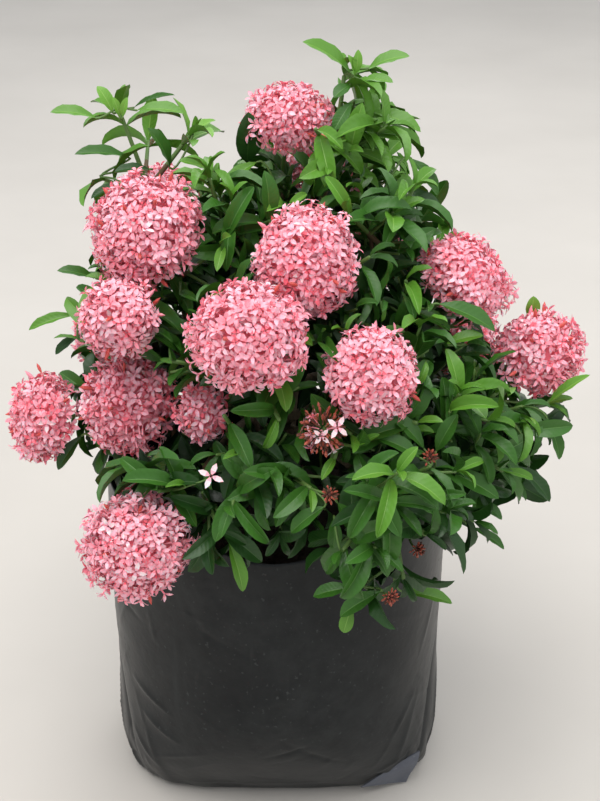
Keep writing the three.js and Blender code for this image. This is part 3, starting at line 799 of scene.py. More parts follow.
# Heads that aren't round: how they are stretched along their stalk and across it
HEAD_STRETCHES = {
    "right_upper0": (0.82, 1.14),
    "centre0": (0.82, 0.95),
    "crown_head0": (0.9, 1),
    "upper_left0": (0.88, 0.98),
    "left_edge0": (0.9, 0.9),
    "far_left0": (0.86, 1.12),
    "low_left0": (1, 0.92),
    "far_right0": (1.1, 1),
}


def stretched(offsets, ball):
    """Offsets from a head's centre, stretched as that head is."""
    along, across = ball["stretch"]
    heights = offsets @ ball["axis"]
    return offsets * across + (along - across) * heights[..., None] * ball["axis"]


def add_head(pile, ball, bloom, random):
    """A ball of florets and buds round a lumpy core, the tubes meeting near its stalk."""
    centre, axis, radius = ball["centre"], ball["axis"], ball["radius"]
    weights, bud_share = BLOOMS[bloom]
    directions = loose_directions(int(FLORETS_PER_SQUARE_MM * radius**2), axis, HEAD_FOOT, 0.07, random)
    count = len(directions)
    facings = unit_rows(directions + 0.12 * axis + random.normal(0, 0.22, directions.shape))
    shares = random.choice(LAYERS, count, p=LAYER_PARTS)
    swell = np.array([noise.noise(Vector(d * 2.1 + centre)) for d in directions]) * 0.15
    squash = random.uniform(0.93, 1.05, 3)
    offsets = directions * squash * (radius * (shares + swell) + random.uniform(-0.8, 0.8, count))[:, None]
    places = centre + stretched(offsets, ball)
    frames = frames_about(facings, random.uniform(0, TURN, count))
    scales = random.uniform(0.9, 1.16, count)[:, None] * np.ones(3)
    tones = random.choice(len(PETAL_TONES), count, p=weights)
    is_bud = random.random(count) < bud_share
    variants = np.where(is_bud, NO_VARIANT, random.integers(0, len(FLORET_SHAPES), count))
    scatter_variants(pile, FLORET_SHAPES, variants, places, frames, scales, tones, FLORET_TABLE)
    scatter(pile, BUD_SHAPE, places[is_bud], frames[is_bud], scales[is_bud], tones[is_bud], BUD_TABLE)
    add_core(pile, ball, random)


NO_VARIANT = -1
# Columns of finishes for the kinds of face of a floret or bud, a row for each tone
TONE_NAMES = list(PETAL_TONES)
CORAL = TONE_NAMES.index("coral")
THROAT_FINISH = len(TONE_NAMES)
TUBE_FINISH, CORE_FINISH, BUD_FINISH, BROWN_BUD, RED_BUD = range(THROAT_FINISH + 1, THROAT_FINISH + 6)
FLORET_TABLE = [(tone, min(tone + 2, THROAT_FINISH), TUBE_FINISH) for tone in range(len(TONE_NAMES))]
BUD_TABLE = [(BUD_FINISH if tone % 2 else CORAL, TUBE_FINISH) for tone in range(len(TONE_NAMES))]
CLUSTER_TABLE = [(BROWN_BUD, BROWN_BUD), (RED_BUD, BROWN_BUD), (BROWN_BUD, RED_BUD), (RED_BUD, RED_BUD)]
BUDS_PER_SQUARE_MM = 0.7  # of a budding head's squared radius
OPEN_SHARE = 0.07
HEAD_BUD_SIZE, CLUSTER_BUD_SIZE = np.array([0.72, 0.72, 0.4]), np.array([0.6, 0.6, 0.34])
CLUSTER_RADIUS = 4.5
STAR_WAY = np.array([0.5, -0.72, 0.48])  # the way that the open flower of a budding head faces
STAR_SIZE, LONE_STAR_SIZE = (1.3, 1.3, 0.8), (1.35, 1.35, 1)
CORE_SHARE = 0.73
CORE_ROWS, CORE_COLUMNS = 12, 18


def add_core(pile, ball, random):
    """The lumpy shaded middle of a head, drawn in towards its stalk."""
    heights = np.linspace(0.98, -0.98, CORE_ROWS)
    lumps = CORE_SHARE * (1 + random.normal(0, 0.05, (CORE_ROWS, CORE_COLUMNS)))
    local = ball_grid(heights, CORE_COLUMNS, lumps - 0.12 * np.maximum(0, -heights)[:, None] ** 2)
    points = stretched(local * ball["radius"] @ frame_about(ball["axis"]), ball)
    ends = np.array([1, -1])[:, None] * ball["axis"] * ball["radius"] * CORE_SHARE * ball["stretch"][0]
    vertices = ball["centre"] + np.vstack((points.reshape(-1, 3), ends))
    pile.add(vertices, grid_faces(CORE_ROWS, CORE_COLUMNS, closed=True), CORE_FINISH)
    first = np.arange(CORE_COLUMNS)
    last = first + (CORE_ROWS - 1) * CORE_COLUMNS
    top = last[-1] + 1 + 0 * first
    pile.add_faces(np.column_stack((first, top, np.roll(first, -1))), CORE_FINISH)
    pile.add_faces(np.column_stack((last, np.roll(last, -1), top + 1)), CORE_FINISH)


def add_stalk(twigs, curve, radius):
    tube(twigs, curve.points(8), np.full(9, radius), 5, TWIG_GREEN)


def add_star(flowers, place, facing, size):
    """A single open flower."""
    scatter(flowers, FLORET_SHAPES[1], [place], [frame_about(facing)], [size], [0], FLORET_TABLE)


def add_clusters(crown, flowers, twigs, random):
    """Bud clusters and single open flowers, each on a stalk of its own."""
    for x, y, z, count in BUD_CLUSTERS:
        place = np.array((x, y, z), float)
        axis = unit(unit(place - CROWN_CORE) + UP * 0.5)
        add_stalk(twigs, crown.stalk_to(place, axis)[1], KEY_STALK)
        directions = ball_directions(count * 2, axis, CLUSTER_FOOT)
        frames = frames_about(directions, random.uniform(0, TURN, len(directions)))
        scales = CLUSTER_BUD_SIZE * random.uniform(0.7, 1.15, len(directions))[:, None]
        places = place + axis * 2 + directions * CLUSTER_RADIUS * random.uniform(0.6, 1, (len(directions), 1))
        tones = random.choice((0, 1, 3), len(directions))
        scatter(flowers, BUD_SHAPE, places, frames, scales, tones, CLUSTER_TABLE)
    facing = unit(np.array([0.1, -0.8, 0.6]))
    for place in LONE_STARS:
        add_stalk(twigs, crown.stalk_to(place - facing * 8, facing)[1], KEY_STALK * 0.75)
        add_star(flowers, place, facing, LONE_STAR_SIZE)


def add_budding_head(pile, ball, random):
    """A head still in bud: slim dark buds of uneven length, with a few open flowers."""
    centre, radius = ball["centre"], ball["radius"]
    count = int(BUDS_PER_SQUARE_MM * radius**2)
    directions = loose_directions(count, ball["axis"], BUDDING_FOOT, 0.12, random)
    count = len(directions)
    places = centre + directions * (radius * random.uniform(0.6, 1, count))[:, None]
    frames = frames_about(directions, random.uniform(0, TURN, count))
    scales = HEAD_BUD_SIZE * random.uniform(0.7, 1.2, count)[:, None]
    is_open = random.random(count) < OPEN_SHARE
    tones = random.integers(0, 4, count)
    kinds = ((BUD_SHAPE, ~is_open, 1, CLUSTER_TABLE), (FLORET_SHAPES[0], is_open, 1.3, FLORET_TABLE))
    for shape, chosen, size, table in kinds:
        scatter(pile, shape, places[chosen], frames[chosen], scales[chosen] * size, tones[chosen], table)
    add_star(pile, centre + STAR_WAY * radius * 1.15, STAR_WAY, STAR_SIZE)


# Leaves and twigs

# Tones of the leaves as sRGB: blade and midrib. The darker tones also serve as painted shade inside and low
# in the crown, the lighter ones as painted light at its top
LEAF_TONES = {
    "young": ((108, 159, 58), (136, 178, 85)),
    "light": ((87, 137, 43), (116, 159, 68)),
    "mid": ((54, 101, 31), (79, 124, 50)),
    "dark": ((33, 70, 23), (52, 89, 35)),
    "deep": ((16, 39, 15), (27, 52, 21)),
}
YOUNG, LIGHT, MID, DARK, DEEP = range(5)
YOUNG_MASSES = {"left_leader": 0.6, "crown_tip": 0.3, "centre": 0.1, "crown_left": 0.2, "crown_right": 0.15}
CROWN_REACH = np.array([165.0, 150, 175])  # from the crown's core to its outline
LEAF_TABLE = [(2 * tone, 2 * tone + 1) for tone in range(len(LEAF_TONES))]
TWIG_BROWN, TWIG_GREEN = 0, 1


def leaf_tone(mass, leaf, draw):
    """Young at some tips, darker further down a twig and by chance; with painted shade, darker inside the
    crown, low down and in the collars under heads, and with painted light, lighter at the crown's top.
    """
    if leaf["pair"] < 2 and not leaf["collar"] and leaf["tone"] < YOUNG_MASSES.get(mass.name, 0):
        return YOUNG
    # Painted shade and light: darker tones inside the crown, low down and in collars under heads, lighter at
    # the top
    inside = max(0, 1 - np.linalg.norm((leaf["base"] - CROWN_CORE) / CROWN_REACH))
    height = (leaf["base"][2] - CROWN_CORE[2]) / CROWN_REACH[2]
    depth = leaf["pair"] * 0.35 + (0.8 if leaf["collar"] else 0) + leaf["tone"] * 1.6 + draw * 0.8
    depth += inside * 5.5 - height * (2.2 if height > 0 else 7)
    return (LIGHT, LIGHT, MID, MID, DARK, DARK, DEEP)[int(np.clip(depth + 0.6, 0, 6))]


def leaf_frame(leaf):
    return np.array([leaf["direction"], np.cross(leaf["normal"], leaf["direction"]), leaf["normal"]])


def add_key_leaves(leaves, twigs, mass):
    for leaf in mass.key_leaves:
        size = leaf["size"] / LEAF_LENGTH
        scale = (size, leaf["width"] * max(size, 0.75), size)
        scatter(leaves, KEY_SHAPE, [leaf["base"]], [leaf_frame(leaf)], [scale], [leaf["tone"]], LEAF_TABLE)
        add_stalk(twigs, leaf["stalk"], KEY_STALK)


def add_leaves(pile, mass, random):
    leaves = mass.leaves
    frames = np.array([leaf_frame(leaf) for leaf in leaves])
    places = np.array([leaf["base"] for leaf in leaves])
    scales = np.array([[leaf["size"] / LEAF_LENGTH] * 3 for leaf in leaves])
    scales[:, 1] *= random.uniform(0.85, 1.12, len(leaves))
    tones = np.array([leaf_tone(mass, leaf, random.random()) for leaf in leaves])
    variants = random.integers(0, len(LEAF_SHAPES), len(leaves))
    scatter_variants(pile, LEAF_SHAPES, variants, places, frames, scales, tones, LEAF_TABLE)


def add_twigs(pile, mass):
    for twig in mass.twigs:
        steps = 12 if twig["level"] == 0 else 7
        start = 0.5 if twig["level"] == 0 else 0
        finish = [TWIG_BROWN if i / steps < start else TWIG_GREEN for i in range(steps)]
        radii = np.linspace(twig["base"], twig["tip"], steps + 1)
        tube(pile, twig["curve"].points(steps), radii, 6, finish)


# Trunk and boughs

BARK_RELIEF = 0.55


def bark_ring(limb, t, angles):
    """Radii round a limb at t, with the trunk's flare and root lobes."""
    radius = np.full(len(angles), lerp(limb["base"], limb["tip"], t))
    if limb["name"] == "trunk":
        fade = math.exp(-9 * t)
        radius = (radius + (TRUNK_FLARE - TRUNK_BASE) * fade) * (1 + 0.12 * fade * np.cos(5 * angles))
    return radius


def add_bark(pile, limb, sides, steps):
    """A limb with ridged bark: the relief runs along it and is broken by small knots."""
    curve = limb["curve"]
    angles = np.arange(sides) / sides * TURN
    side = unit(np.cross(curve.tangent(0), (0.3, 1, 0.2)))
    vertices = []
    for i in range(steps + 1):
        t = i / steps
        centre, axis = curve.point(t), curve.tangent(t)
        side = unit(side - side.dot(axis) * axis)
        for direction, radius in zip(ring_about(angles, side, axis), bark_ring(limb, t, angles)):
            ridges = noise.noise(Vector(direction * 3.1 + centre * 0.05))
            knots = noise.noise(Vector((direction * radius + centre) * 0.22))
            depth = BARK_RELIEF * min(1, radius / 5)
            vertices.append(centre + direction * (radius + depth * (ridges + 0.7 * knots)))
    pile.add(vertices, grid_faces(steps + 1, sides, closed=True))


# The bag

BAG_SIDES = 400
BAG_ANGLES = (np.arange(BAG_SIDES) + 0.5) / BAG_SIDES * TURN
BAG_LEVELS = 165
FOOT_LEVELS = (0, 0.004, 0.01, 0.018, 0.03)  # the lowest, as shares of the rim's height
BAG_SEED = 5
FILM = 0.9
WALL_INSET = 1.2  # leaves room for the relief inside the solid's outline
# Creases seen in the photograph and a few like them, as an angle in degrees and a height for each end,
# then depth and half width
CREASES = (
    (-150, 104, -127, 90, 1.5, 2.6),
    (-144, 80, -121, 66, 1.5, 2.6),
    (-150, 58, -128, 30, 1.2, 2.4),
    (-66, 22, -38, 44, 1.3, 2.6),
    (-52, 60, -34, 96, 1, 3),
    (-33, 120, -20, 168, 0.9, 3.5),
    (-160, 130, -144, 186, 0.9, 3.5),
    (-118, 14, -72, 20, 1, 4),
)
# The folds that close the foot at each side, as degrees away from the side and a height for each end,
# then depth and half width
SIDE_FOLDS = ((40, 6, 5, 122, -2.2, 5), (24, 4, 2, 84, 1.6, 3.5), (58, 10, 30, 96, 1.1, 4))
RANDOM_CREASES = 230
# The corner of the foot's seam that stands out at the front right: its outline and its height off the wall
SEAM_CORNER = ((62, -82, 12), (105, -67, 36), (97, -63, 1.5))
SEAM_LIFT, SEAM_WAVE, SEAM_STEPS = 3.5, 0.5, 10


def sgn_power(value, power):
    return np.sign(value) * np.abs(value) ** power


def bag_outline(angle, z, inset):
    """The wall's x and y at an angle and a height, as in the source."""
    width_share = np.sin(np.minimum(1, z / SIDE_RISE) * math.pi / 2)
    depth_share = np.sin(np.minimum(1, z / FRONT_RISE) * math.pi / 2)
    half_width = lerp(FOOT_HALF_WIDTH, BAG_RADIUS, width_share) - inset
    half_depth = lerp(FOOT_HALF_DEPTH, BAG_RADIUS, depth_share) - inset
    power = 2 / lerp(FOOT_CORNER, 2, depth_share)
    return half_width * sgn_power(np.cos(angle), power), half_depth * sgn_power(np.sin(angle), power)


def rim_height(angle):
    from_front = np.arctan2(np.sin(angle + math.pi / 2), np.cos(angle + math.pi / 2))
    dip = FRONT_DIP * np.exp(-((from_front / 0.42) ** 2))
    return BAG_HEIGHT - dip + RIM_WAVE * np.sin(3 * angle + 1) * (1 - dip / FRONT_DIP)


def crease(angle, z, start_angle, start_z, end_angle, end_z, depth, width):
    """A sharp fold between two places on the wall, fading at its ends."""
    across = np.angle(np.exp(1j * (angle - start_angle))) * BAG_RADIUS
    up = z - start_z
    along_x = np.angle(np.exp(1j * (end_angle - start_angle))) * BAG_RADIUS
    along_z = end_z - start_z
    length = math.hypot(along_x, along_z)
    t = (across * along_x + up * along_z) / length**2
    away = (across * along_z - up * along_x) / length
    return depth * np.exp(-np.abs(away) / width) * np.clip(1 - (2 * t - 1) ** 2, 0, None)


def bag_relief(angle, z, random):
    """How far the film stands out: broad dents, drapes below the rim, buckles above the foot, and creases."""
    relief = 1.1 * np.sin(5 * angle + 0.4 * np.sin(z / 30)) * np.sin(z / 37 + 1.3 * np.sin(2 * angle))
    drape = np.sin(11 * angle + z / 45 + 2 * np.sin(3 * angle))
    relief += 0.7 * drape * np.exp(-((BAG_HEIGHT - z) / 60) ** 2)
    foot = np.exp(-((z / 26) ** 2))
    relief += 1.5 * foot * np.sin(17 * angle + z / 9 + 3 * np.sin(2 * angle)) * np.cos(7 * angle)
    for start_angle, start_z, end_angle, end_z, depth, width in CREASES:
        start, end = math.radians(start_angle), math.radians(end_angle)
        relief += crease(angle, z, start, start_z, end, end_z, depth, width)
    for side in (0, math.pi):
        for start_away, start_z, end_away, end_z, depth, width in SIDE_FOLDS:
            for way in (-1, 1):
                start, end = side + way * math.radians(start_away), side + way * math.radians(end_away)
                relief += crease(angle, z, start, start_z, end, end_z, depth, width)
    for _ in range(RANDOM_CREASES):
        start, height = random.uniform(0, TURN), BAG_HEIGHT * random.random() ** 1.4
        slant = random.choice((-1, 1)) * random.uniform(0.2, 1.4)
        length = random.uniform(14, 60)
        end = start + math.cos(slant) * length / BAG_RADIUS
        depth = random.uniform(0.2, 0.75) * random.choice((-1, 1))
        top = height + math.sin(slant) * length
        relief += crease(angle, z, start, height, end, top, depth, random.uniform(1.2, 3))
    return relief


def add_seam_corner(pile):
    """The three-cornered flap of doubled film at the foot, lifted off the wall towards its free edge."""
    first, second, third = (np.array(corner, float) for corner in SEAM_CORNER)
    away = unit(np.array([1.0, -1.1, 0.0]))
    steps = np.linspace(0, 1, SEAM_STEPS + 1)
    faces = grid_faces(len(steps), len(steps))
    for depth, side_faces in ((0, faces), (FILM, faces[:, ::-1])):
        rows = []
        for out in steps:
            for along in steps:
                lift = SEAM_LIFT * out**1.5 * (0.6 + 0.4 * math.sin(along * 5))
                lift += depth + SEAM_WAVE * math.sin(out * 7) * out
                rows.append(lerp(first, lerp(second, third, along), out) + away * lift)
        pile.add(rows, side_faces, 1)


def film_surface(z, inset):
    """The film's places at heights z, with a row for each level, set in from the outline by inset."""
    angles = np.broadcast_to(BAG_ANGLES, z.shape)
    relief = bag_relief(angles, z, np.random.default_rng(BAG_SEED))
    x, y = bag_outline(angles, z, inset - relief * np.clip(z / 6, 0, 1))
    return np.stack((x, y, z), -1)


def add_bag(pile):
    """The film's outside from the foot up, its rolled rim, and its inside down to below the soil."""
    rim = rim_height(BAG_ANGLES)
    z = np.concatenate((FOOT_LEVELS, np.linspace(0.042, 0.985, BAG_LEVELS), [0.993, 1]))[:, None] * rim
    hem = 4.5 * (1 - np.sqrt(1 - np.clip(1 - z / 5, 0, 1) ** 2))
    inner_z = np.linspace(1, (SOIL_LEVEL - 22) / BAG_HEIGHT, 26)[:, None] * rim
    rows = np.vstack((film_surface(z, hem + WALL_INSET), film_surface(inner_z, WALL_INSET + FILM)))
    rows[len(z) - 1 : len(z) + 1, :, 2] += 0.4
    pile.add(rows.reshape(-1, 3), grid_faces(len(rows), BAG_SIDES, closed=True))
    under = np.stack([rows[0] * (share, share, 0) for share in (1, 0.94, 0.8, 0.5, 0.2)])
    pile.add(under.reshape(-1, 3), grid_faces(len(under), BAG_SIDES, closed=True)[:, ::-1])
    add_seam_corner(pile)


# The soil

SOIL_RINGS, SOIL_SIDES, CLODS = 60, 160, 420


def soil_height(x, y):
    """The heap's height: lower at the film, lumpy all over."""
    away = math.hypot(x, y)
    heap = SOIL_LEVEL - 7 * max(0, (away - 55) / 65) ** 1.5
    lumps = noise.noise(Vector((x * 0.06, y * 0.06, 2))) * 2.6
    lumps += noise.noise(Vector((x * 0.23, y * 0.23, 7))) * 1.5
    return heap + lumps + 0.6 * noise.noise(Vector((x * 0.7, y * 0.7, 3)))


def add_soil(pile, random):
    """The lumpy surface of the soil with loose clods on it."""
    reach = BAG_RADIUS - FILM - 1.5
    radii = np.linspace(0.5, reach, SOIL_RINGS)
    angles = np.arange(SOIL_SIDES) / SOIL_SIDES * TURN
    points = [(r * math.cos(a), r * math.sin(a)) for r in radii for a in angles]
    faces = grid_faces(SOIL_RINGS, SOIL_SIDES, closed=True)[:, ::-1]
    pile.add([(x, y, soil_height(x, y)) for x, y in points], faces)
    shapes = [clod_shape(random) for _ in range(5)]
    for shape in shapes:
        count = CLODS // len(shapes)
        away = reach * 0.97 * np.sqrt(random.random(count))
        around = random.uniform(0, TURN, count)
        x, y = away * np.cos(around), away * np.sin(around)
        places = np.array([(a, b, soil_height(a, b) + 0.3) for a, b in zip(x, y)])
        frames = frames_about(unit_rows(random.normal(0, 1, (count, 3))), random.uniform(0, TURN, count))
        sizes = (1.2 + 2.6 * random.random(count) ** 2)[:, None] * random.uniform(0.6, 1.1, (count, 3))
        scatter(pile, shape, places, frames, sizes, np.zeros(count, int), [(0,)])


def clod_shape(random):
    """An irregular lump of radius about 1."""
    rows, columns = 6, 8
    heights = np.array([-0.97, -0.7, -0.25, 0.25, 0.7, 0.97])
    points = ball_grid(heights, columns, 1 + random.normal(0, 0.13, (rows, columns)))
    ends = np.array([[0, 1, 2, 3], [3, 4, 5, 6], [0, 3, 6, 7]])
    faces = np.vstack((grid_faces(rows, columns, closed=True), ends[:, ::-1], ends + (rows - 1) * columns))
    return points.reshape(-1, 3), faces, np.zeros(len(faces), int), None


# Materials


def linear(colour):
    """An sRGB colour of 0 to 255 as Blender's linear one."""
    values = [c / 255 for c in colour]
    return tuple(v / 12.92 if v <= 0.04045 else ((v + 0.055) / 1.055) ** 2.4 for v in values)


class Finish:
    """A material, its Principled shader, and short ways of adding nodes to it."""

    def __init__(self, name, colour, roughness, **sockets):
        self.material = bpy.data.materials.new(name)
        self.material.use_nodes = True
        self.tree = self.material.node_tree
        self.shader = self.tree.nodes["Principled BSDF"]
        self.shader.inputs["Base Color"].default_value = (*linear(colour), 1)
        self.shader.inputs["Roughness"].default_value = roughness
        for socket, value in sockets.items():
            self.shader.inputs[socket.replace("_", " ")].default_value = value

    def put(self, socket, value):
        """Links a socket to another node's, or gives it a value."""
        if isinstance(value, bpy.types.NodeSocket):
            self.tree.links.new(value, socket)
        else:
            socket.default_value = value

    def node(self, kind, settings=None, **inputs):
        node = self.tree.nodes.new("ShaderNode" + kind)
        for key, value in (settings or {}).items():
            setattr(node, key, value)
        for key, value in inputs.items():
            self.put(node.inputs[key.replace("_", " ")], value)
        return node

    def math(self, operation, *values, clamp=False):
        node = self.node("Math", {"operation": operation, "use_clamp": clamp})
        for socket, value in zip(node.inputs, values):
            self.put(socket, value)
        return node.outputs[0]

    def mix(self, amount, *colours):
        """A colour between two, each a socket or a linear colour."""
        node = self.node("Mix", {"data_type": "RGBA"}, Factor=amount)
        for socket, colour in zip((node.inputs[6], node.inputs[7]), colours):
            self.put(socket, colour)
        return node.outputs[2]

    def feed(self, socket, source):
        self.tree.links.new(source, self.shader.inputs[socket])

    def noise(self, scale, detail=4, roughness=0.55, vector=None):
        """Noise over the object's own coordinates, in metres."""
        place = vector or self.node("TexCoord").outputs["Object"]
        texture = self.node("TexNoise", Vector=place, Scale=scale, Detail=detail, Roughness=roughness)
        return texture.outputs["Fac"]

    def ramp(self, source, *stops):
        """A colour ramp through stops of a place and an sRGB colour."""
        node = self.node("ValToRGB", Fac=source)
        elements = node.color_ramp.elements
        while len(elements) < len(stops):
            elements.new(1)
        for element, (place, colour) in zip(elements, stops):
            element.position = place
            element.color = (*linear(colour), 1)
        return node.outputs["Color"]

    def span(self, source, old, new):
        """A value's old range brought to a new one."""
        ranges = {"From_Min": old[0], "From_Max": old[1], "To_Min": new[0], "To_Max": new[1]}
        return self.node("MapRange", Value=source, **ranges).outputs[0]

    def spread(self, source, low, high):
        """Noise's middle range widened to low and high."""
        return self.span(source, (0.3, 0.7), (low, high))

    def bump(self, source, height, strength=1.0, after=None):
        inputs = {"Height": source, "Strength": strength, "Distance": height * MM}
        if after:
            inputs["Normal"] = after
        return self.node("Bump", **inputs).outputs["Normal"]


def vein_height(finish):
    """Veins that slant from the midrib to the margins, by a leaf's own coordinates."""
    parts = finish.node("SeparateXYZ", Vector=finish.node("UVMap").outputs["UV"])
    away = finish.math("ABSOLUTE", finish.math("SUBTRACT", parts.outputs["Y"], 0.5))
    slant = finish.math("MULTIPLY_ADD", away, -VEIN_SLANT, parts.outputs["X"])
    return finish.math("SINE", finish.math("MULTIPLY", slant, VEIN_PAIRS * TURN))


VEIN_SLANT, VEIN_PAIRS = 0.28, 10


def leaf_materials():
    """Glossy blades and paler midribs, in a pair for each tone."""
    materials = []
    for name, (blade, midrib) in LEAF_TONES.items():
        gloss = {"Specular_IOR_Level": 0.36, "Coat_Weight": 0.08, "Coat_Roughness": 0.2}
        finish = Finish("leaf_" + name, blade, 0.38, **gloss)
        finish.feed("Roughness", finish.spread(finish.noise(160), 0.32, 0.48))
        relief = finish.bump(vein_height(finish), 0.1, 0.3)
        finish.feed("Normal", finish.bump(finish.noise(900, 2), 0.15, 0.3, relief))
        rib = Finish("leaf_midrib_" + name, midrib, 0.42)
        rib.feed("Roughness", rib.spread(rib.noise(300), 0.36, 0.5))
        materials += [finish.material, rib.material]
    return materials


def petal_materials():
    """Matt, faintly translucent petals in the tones, then throats, tubes, cores and buds."""
    materials = []
    for name, colour in (PETAL_TONES | OTHER_BLOSSOM).items():
        finish = Finish("petal_" + name, colour, 0.55, Sheen_Weight=0.15, Subsurface_Weight=0.75)
        finish.shader.inputs["Subsurface Radius"].default_value = (0.004, 0.0015, 0.0015)
        finish.feed("Roughness", finish.spread(finish.noise(500), 0.48, 0.64))
        finish.feed("Normal", finish.bump(finish.noise(1400, 2), 0.12, 0.4))
        materials.append(finish.material)
    return materials


def twig_materials():
    brown = Finish("twig_brown", (104, 88, 62), 0.8)
    brown.feed("Normal", brown.bump(brown.noise(700), 0.3, 0.6))
    green = Finish("twig_green", (92, 124, 60), 0.5)
    green.feed("Normal", green.bump(green.noise(700), 0.15, 0.4))
    return [brown.material, green.material]


def bark_material():
    finish = Finish("bark", (112, 96, 74), 0.85)
    long = finish.node("Mapping", Vector=finish.node("TexCoord").outputs["Object"], Scale=(1, 1, 0.25))
    grain = finish.noise(420, 6, 0.7, long.outputs["Vector"])
    dark = finish.ramp(grain, (0.3, (70, 56, 42)), (0.7, (138, 122, 98)))
    pale = finish.ramp(grain, (0.3, (84, 74, 56)), (0.7, (160, 148, 124)))
    finish.feed("Base Color", finish.mix(finish.noise(60), dark, pale))
    finish.feed("Roughness", finish.spread(grain, 0.75, 0.95))
    finish.feed("Normal", finish.bump(grain, 0.8, 0.8))
    return finish.material


DUST_HEIGHT = 0.075  # metres
# Names and sRGB colours, clean and dusty, of the bag's film and of the worn corner of its seam
FILMS = (("bag_film", (19, 22, 24), (64, 67, 67)), ("worn_film", (80, 84, 94), (124, 126, 132)))


def film_material(name, clean, dusty):
    """Film with a soft sheen, fine wrinkles, and pale dust that gathers low down and in scuffs."""
    finish = Finish(name, clean, 0.34, Specular_IOR_Level=0.2)
    place = finish.node("TexCoord").outputs["Object"]
    low = finish.span(finish.node("SeparateXYZ", Vector=place).outputs["Z"], (0, DUST_HEIGHT), (0.06, 0))
    broad, fine = finish.noise(9, 5, 0.6), finish.noise(70, 6, 0.7)
    layers = finish.spread(broad, -0.05, 0.9), finish.spread(fine, 0.05, 0.45), low
    dust = finish.math("MULTIPLY_ADD", *layers, clamp=True)
    slanted = finish.node("Mapping", Vector=place, Rotation=(0, 0.5, 0), Scale=(1, 1, 0.12))
    scuffs = finish.span(finish.noise(55, 4, 0.6, slanted.outputs["Vector"]), (0.62, 0.78), (0, 0.3))
    specks = finish.span(finish.noise(330, 2, 0.4), (0.66, 0.74), (0, 0.6))
    amount = finish.math("MAXIMUM", dust, finish.math("MAXIMUM", scuffs, specks))
    finish.feed("Base Color", finish.mix(amount, (*linear(clean), 1), (*linear(dusty), 1)))
    finish.feed("Roughness", finish.span(amount, (0, 1), (0.3, 0.62)))
    wrinkles = finish.bump(finish.noise(38, 3, 0.5), 1.6, 0.5)
    finish.feed("Normal", finish.bump(finish.noise(210, 4, 0.6), 0.3, 0.3, wrinkles))
    return finish.material


def soil_material():
    finish = Finish("soil", (46, 34, 26), 0.95)
    grain = finish.noise(420, 6, 0.7)
    stops = (0.3, (22, 16, 12)), (0.6, (54, 40, 30)), (0.78, (92, 74, 56))
    finish.feed("Base Color", finish.ramp(grain, *stops))
    finish.feed("Normal", finish.bump(grain, 1.2, 0.9))
    return finish.material


def floor_material():
    finish = Finish("floor", (202, 197, 190), 0.75)
    finish.feed("Base Color", finish.ramp(finish.noise(3), (0.3, (199, 194, 187)), (0.7, (206, 201, 194))))
    return finish.material


# The scene


def add_camera():
    camera = bpy.data.cameras.new("camera")
    camera.sensor_width = SENSOR
    camera.lens = FOCAL_PIXELS * SENSOR / IMAGE_HEIGHT
    holder = bpy.data.objects.new("camera", camera)
    holder.location = Vector(CAMERA_PLACE) * MM
    holder.rotation_euler = (math.radians(90 - CAMERA_PITCH), 0, 0)
    bpy.context.scene.collection.objects.link(holder)
    bpy.context.scene.camera = holder


def add_light(name, place, target, size, power, colour=(1, 1, 1)):
    light = bpy.data.lights.new(name, "AREA")
    light.size, light.energy, light.color = size, power, colour
    holder = bpy.data.objects.new(name, light)
    holder.location = place
    holder.rotation_euler = (Vector(target) - Vector(place)).to_track_quat("-Z", "Y").to_euler()
    bpy.context.scene.collection.objects.link(holder)


def add_studio():
    """A pale floor and broad soft lights."""
    mesh = bpy.data.meshes.new("floor")
    half = 6
    corners = [(-half, -half, 0), (half, -half, 0), (half, half, 0), (-half, half, 0)]
    mesh.from_pydata(corners, [], [(0, 1, 2, 3)])
    mesh.materials.append(floor_material())
    floor = bpy.data.objects.new("floor", mesh)
    floor.location.z = -0.0005
    bpy.context.scene.collection.objects.link(floor)
    world = bpy.data.worlds.new("studio")
    world.use_nodes = True
    world.node_tree.nodes["Background"].inputs["Color"].default_value = (0.93, 0.96, 1, 1)
    world.node_tree.nodes["Background"].inputs["Strength"].default_value = 0.66
    bpy.context.scene.world = world
    bpy.context.scene.view_settings.view_transform = "Standard"
    add_light("key", (-0.35, -0.6, 2.4), (0, 0, 0.3), 2.2, 54, (1, 0.98, 0.95))
    add_light("fill", (1.6, -1.0, 1.5), (0, 0, 0.3), 1.8, 8.6)
    add_light("back", (0.4, 1.8, 1.9), (0, 0, 0.35), 1.6, 17)


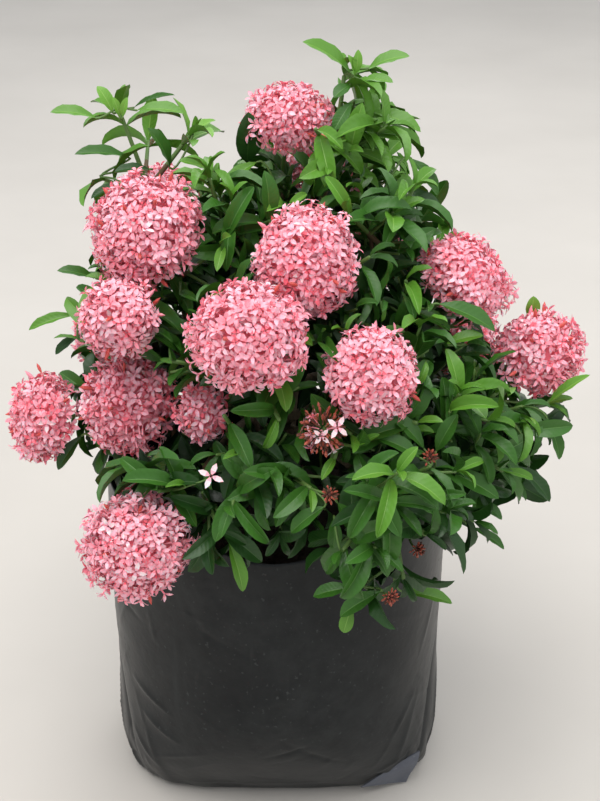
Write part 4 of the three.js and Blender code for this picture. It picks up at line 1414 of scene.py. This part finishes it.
def add_heads(flowers, mass, random):
    for number, ball in enumerate(mass.balls):
        name = f"{mass.name}{number}"
        bloom = HEAD_BLOOMS.get(name, "full")
        ball["stretch"] = HEAD_STRETCHES.get(name, (1, 1))
        if bloom == "budding":
            add_budding_head(flowers, ball, random)
        else:
            add_head(flowers, ball, bloom, random)


def build_plant(crown):
    """The shrub's pieces: one of leaves, one of twigs and one of blossom for each main bough's masses."""
    leaf_looks, petal_looks, twig_looks = leaf_materials(), petal_materials(), twig_materials()
    random = np.random.default_rng(21)
    for bough in MAIN_BOUGHS:
        part = bough.removeprefix("bough_")
        leaves, twigs, flowers = Pile(), Pile(), Pile()
        members = [mass for mass in crown.masses if mass.bough == bough]
        for mass in members:
            add_leaves(leaves, mass, random)
            add_key_leaves(leaves, twigs, mass)
            add_twigs(twigs, mass)
            add_heads(flowers, mass, random)
        if bough == "bough_front":
            add_clusters(crown, flowers, twigs, random)
        leaves.make("leaves_" + part, leaf_looks, "foliage", [mass.name for mass in members])
        twigs.make("twigs_" + part, twig_looks, "bark")
        flowers.make("blossom_" + part, petal_looks, "foliage")


def limb_detail(limb):
    """How many sides and steps a limb's bark has."""
    if limb["name"] == "trunk":
        return 48, 60
    return (20, 40) if limb["base"] == MAIN_BASE else (12, 24)


def build_limbs(crown):
    pile = Pile()
    for limb in crown.limbs:
        add_bark(pile, limb, *limb_detail(limb))
    pile.make("trunk_and_boughs", [bark_material()], "bark", [limb["name"] for limb in crown.limbs])


def build_pot():
    bag, soil = Pile(), Pile()
    add_bag(bag)
    add_soil(soil, np.random.default_rng(8))
    bag.make("film_bag", [film_material(*film) for film in FILMS], "bag_film", ["bag"])
    soil.make("potting_soil", [soil_material()], "soil", ["soil"])


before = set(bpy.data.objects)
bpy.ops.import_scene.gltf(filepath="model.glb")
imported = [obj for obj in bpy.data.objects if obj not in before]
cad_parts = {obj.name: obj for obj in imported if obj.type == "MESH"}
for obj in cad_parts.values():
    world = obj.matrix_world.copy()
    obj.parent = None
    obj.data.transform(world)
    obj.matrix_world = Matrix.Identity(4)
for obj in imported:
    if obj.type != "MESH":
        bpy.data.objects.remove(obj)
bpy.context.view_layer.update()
add_camera()
add_studio()
crown = Crown()
crown.grow()
build_limbs(crown)
build_plant(crown)
build_pot()
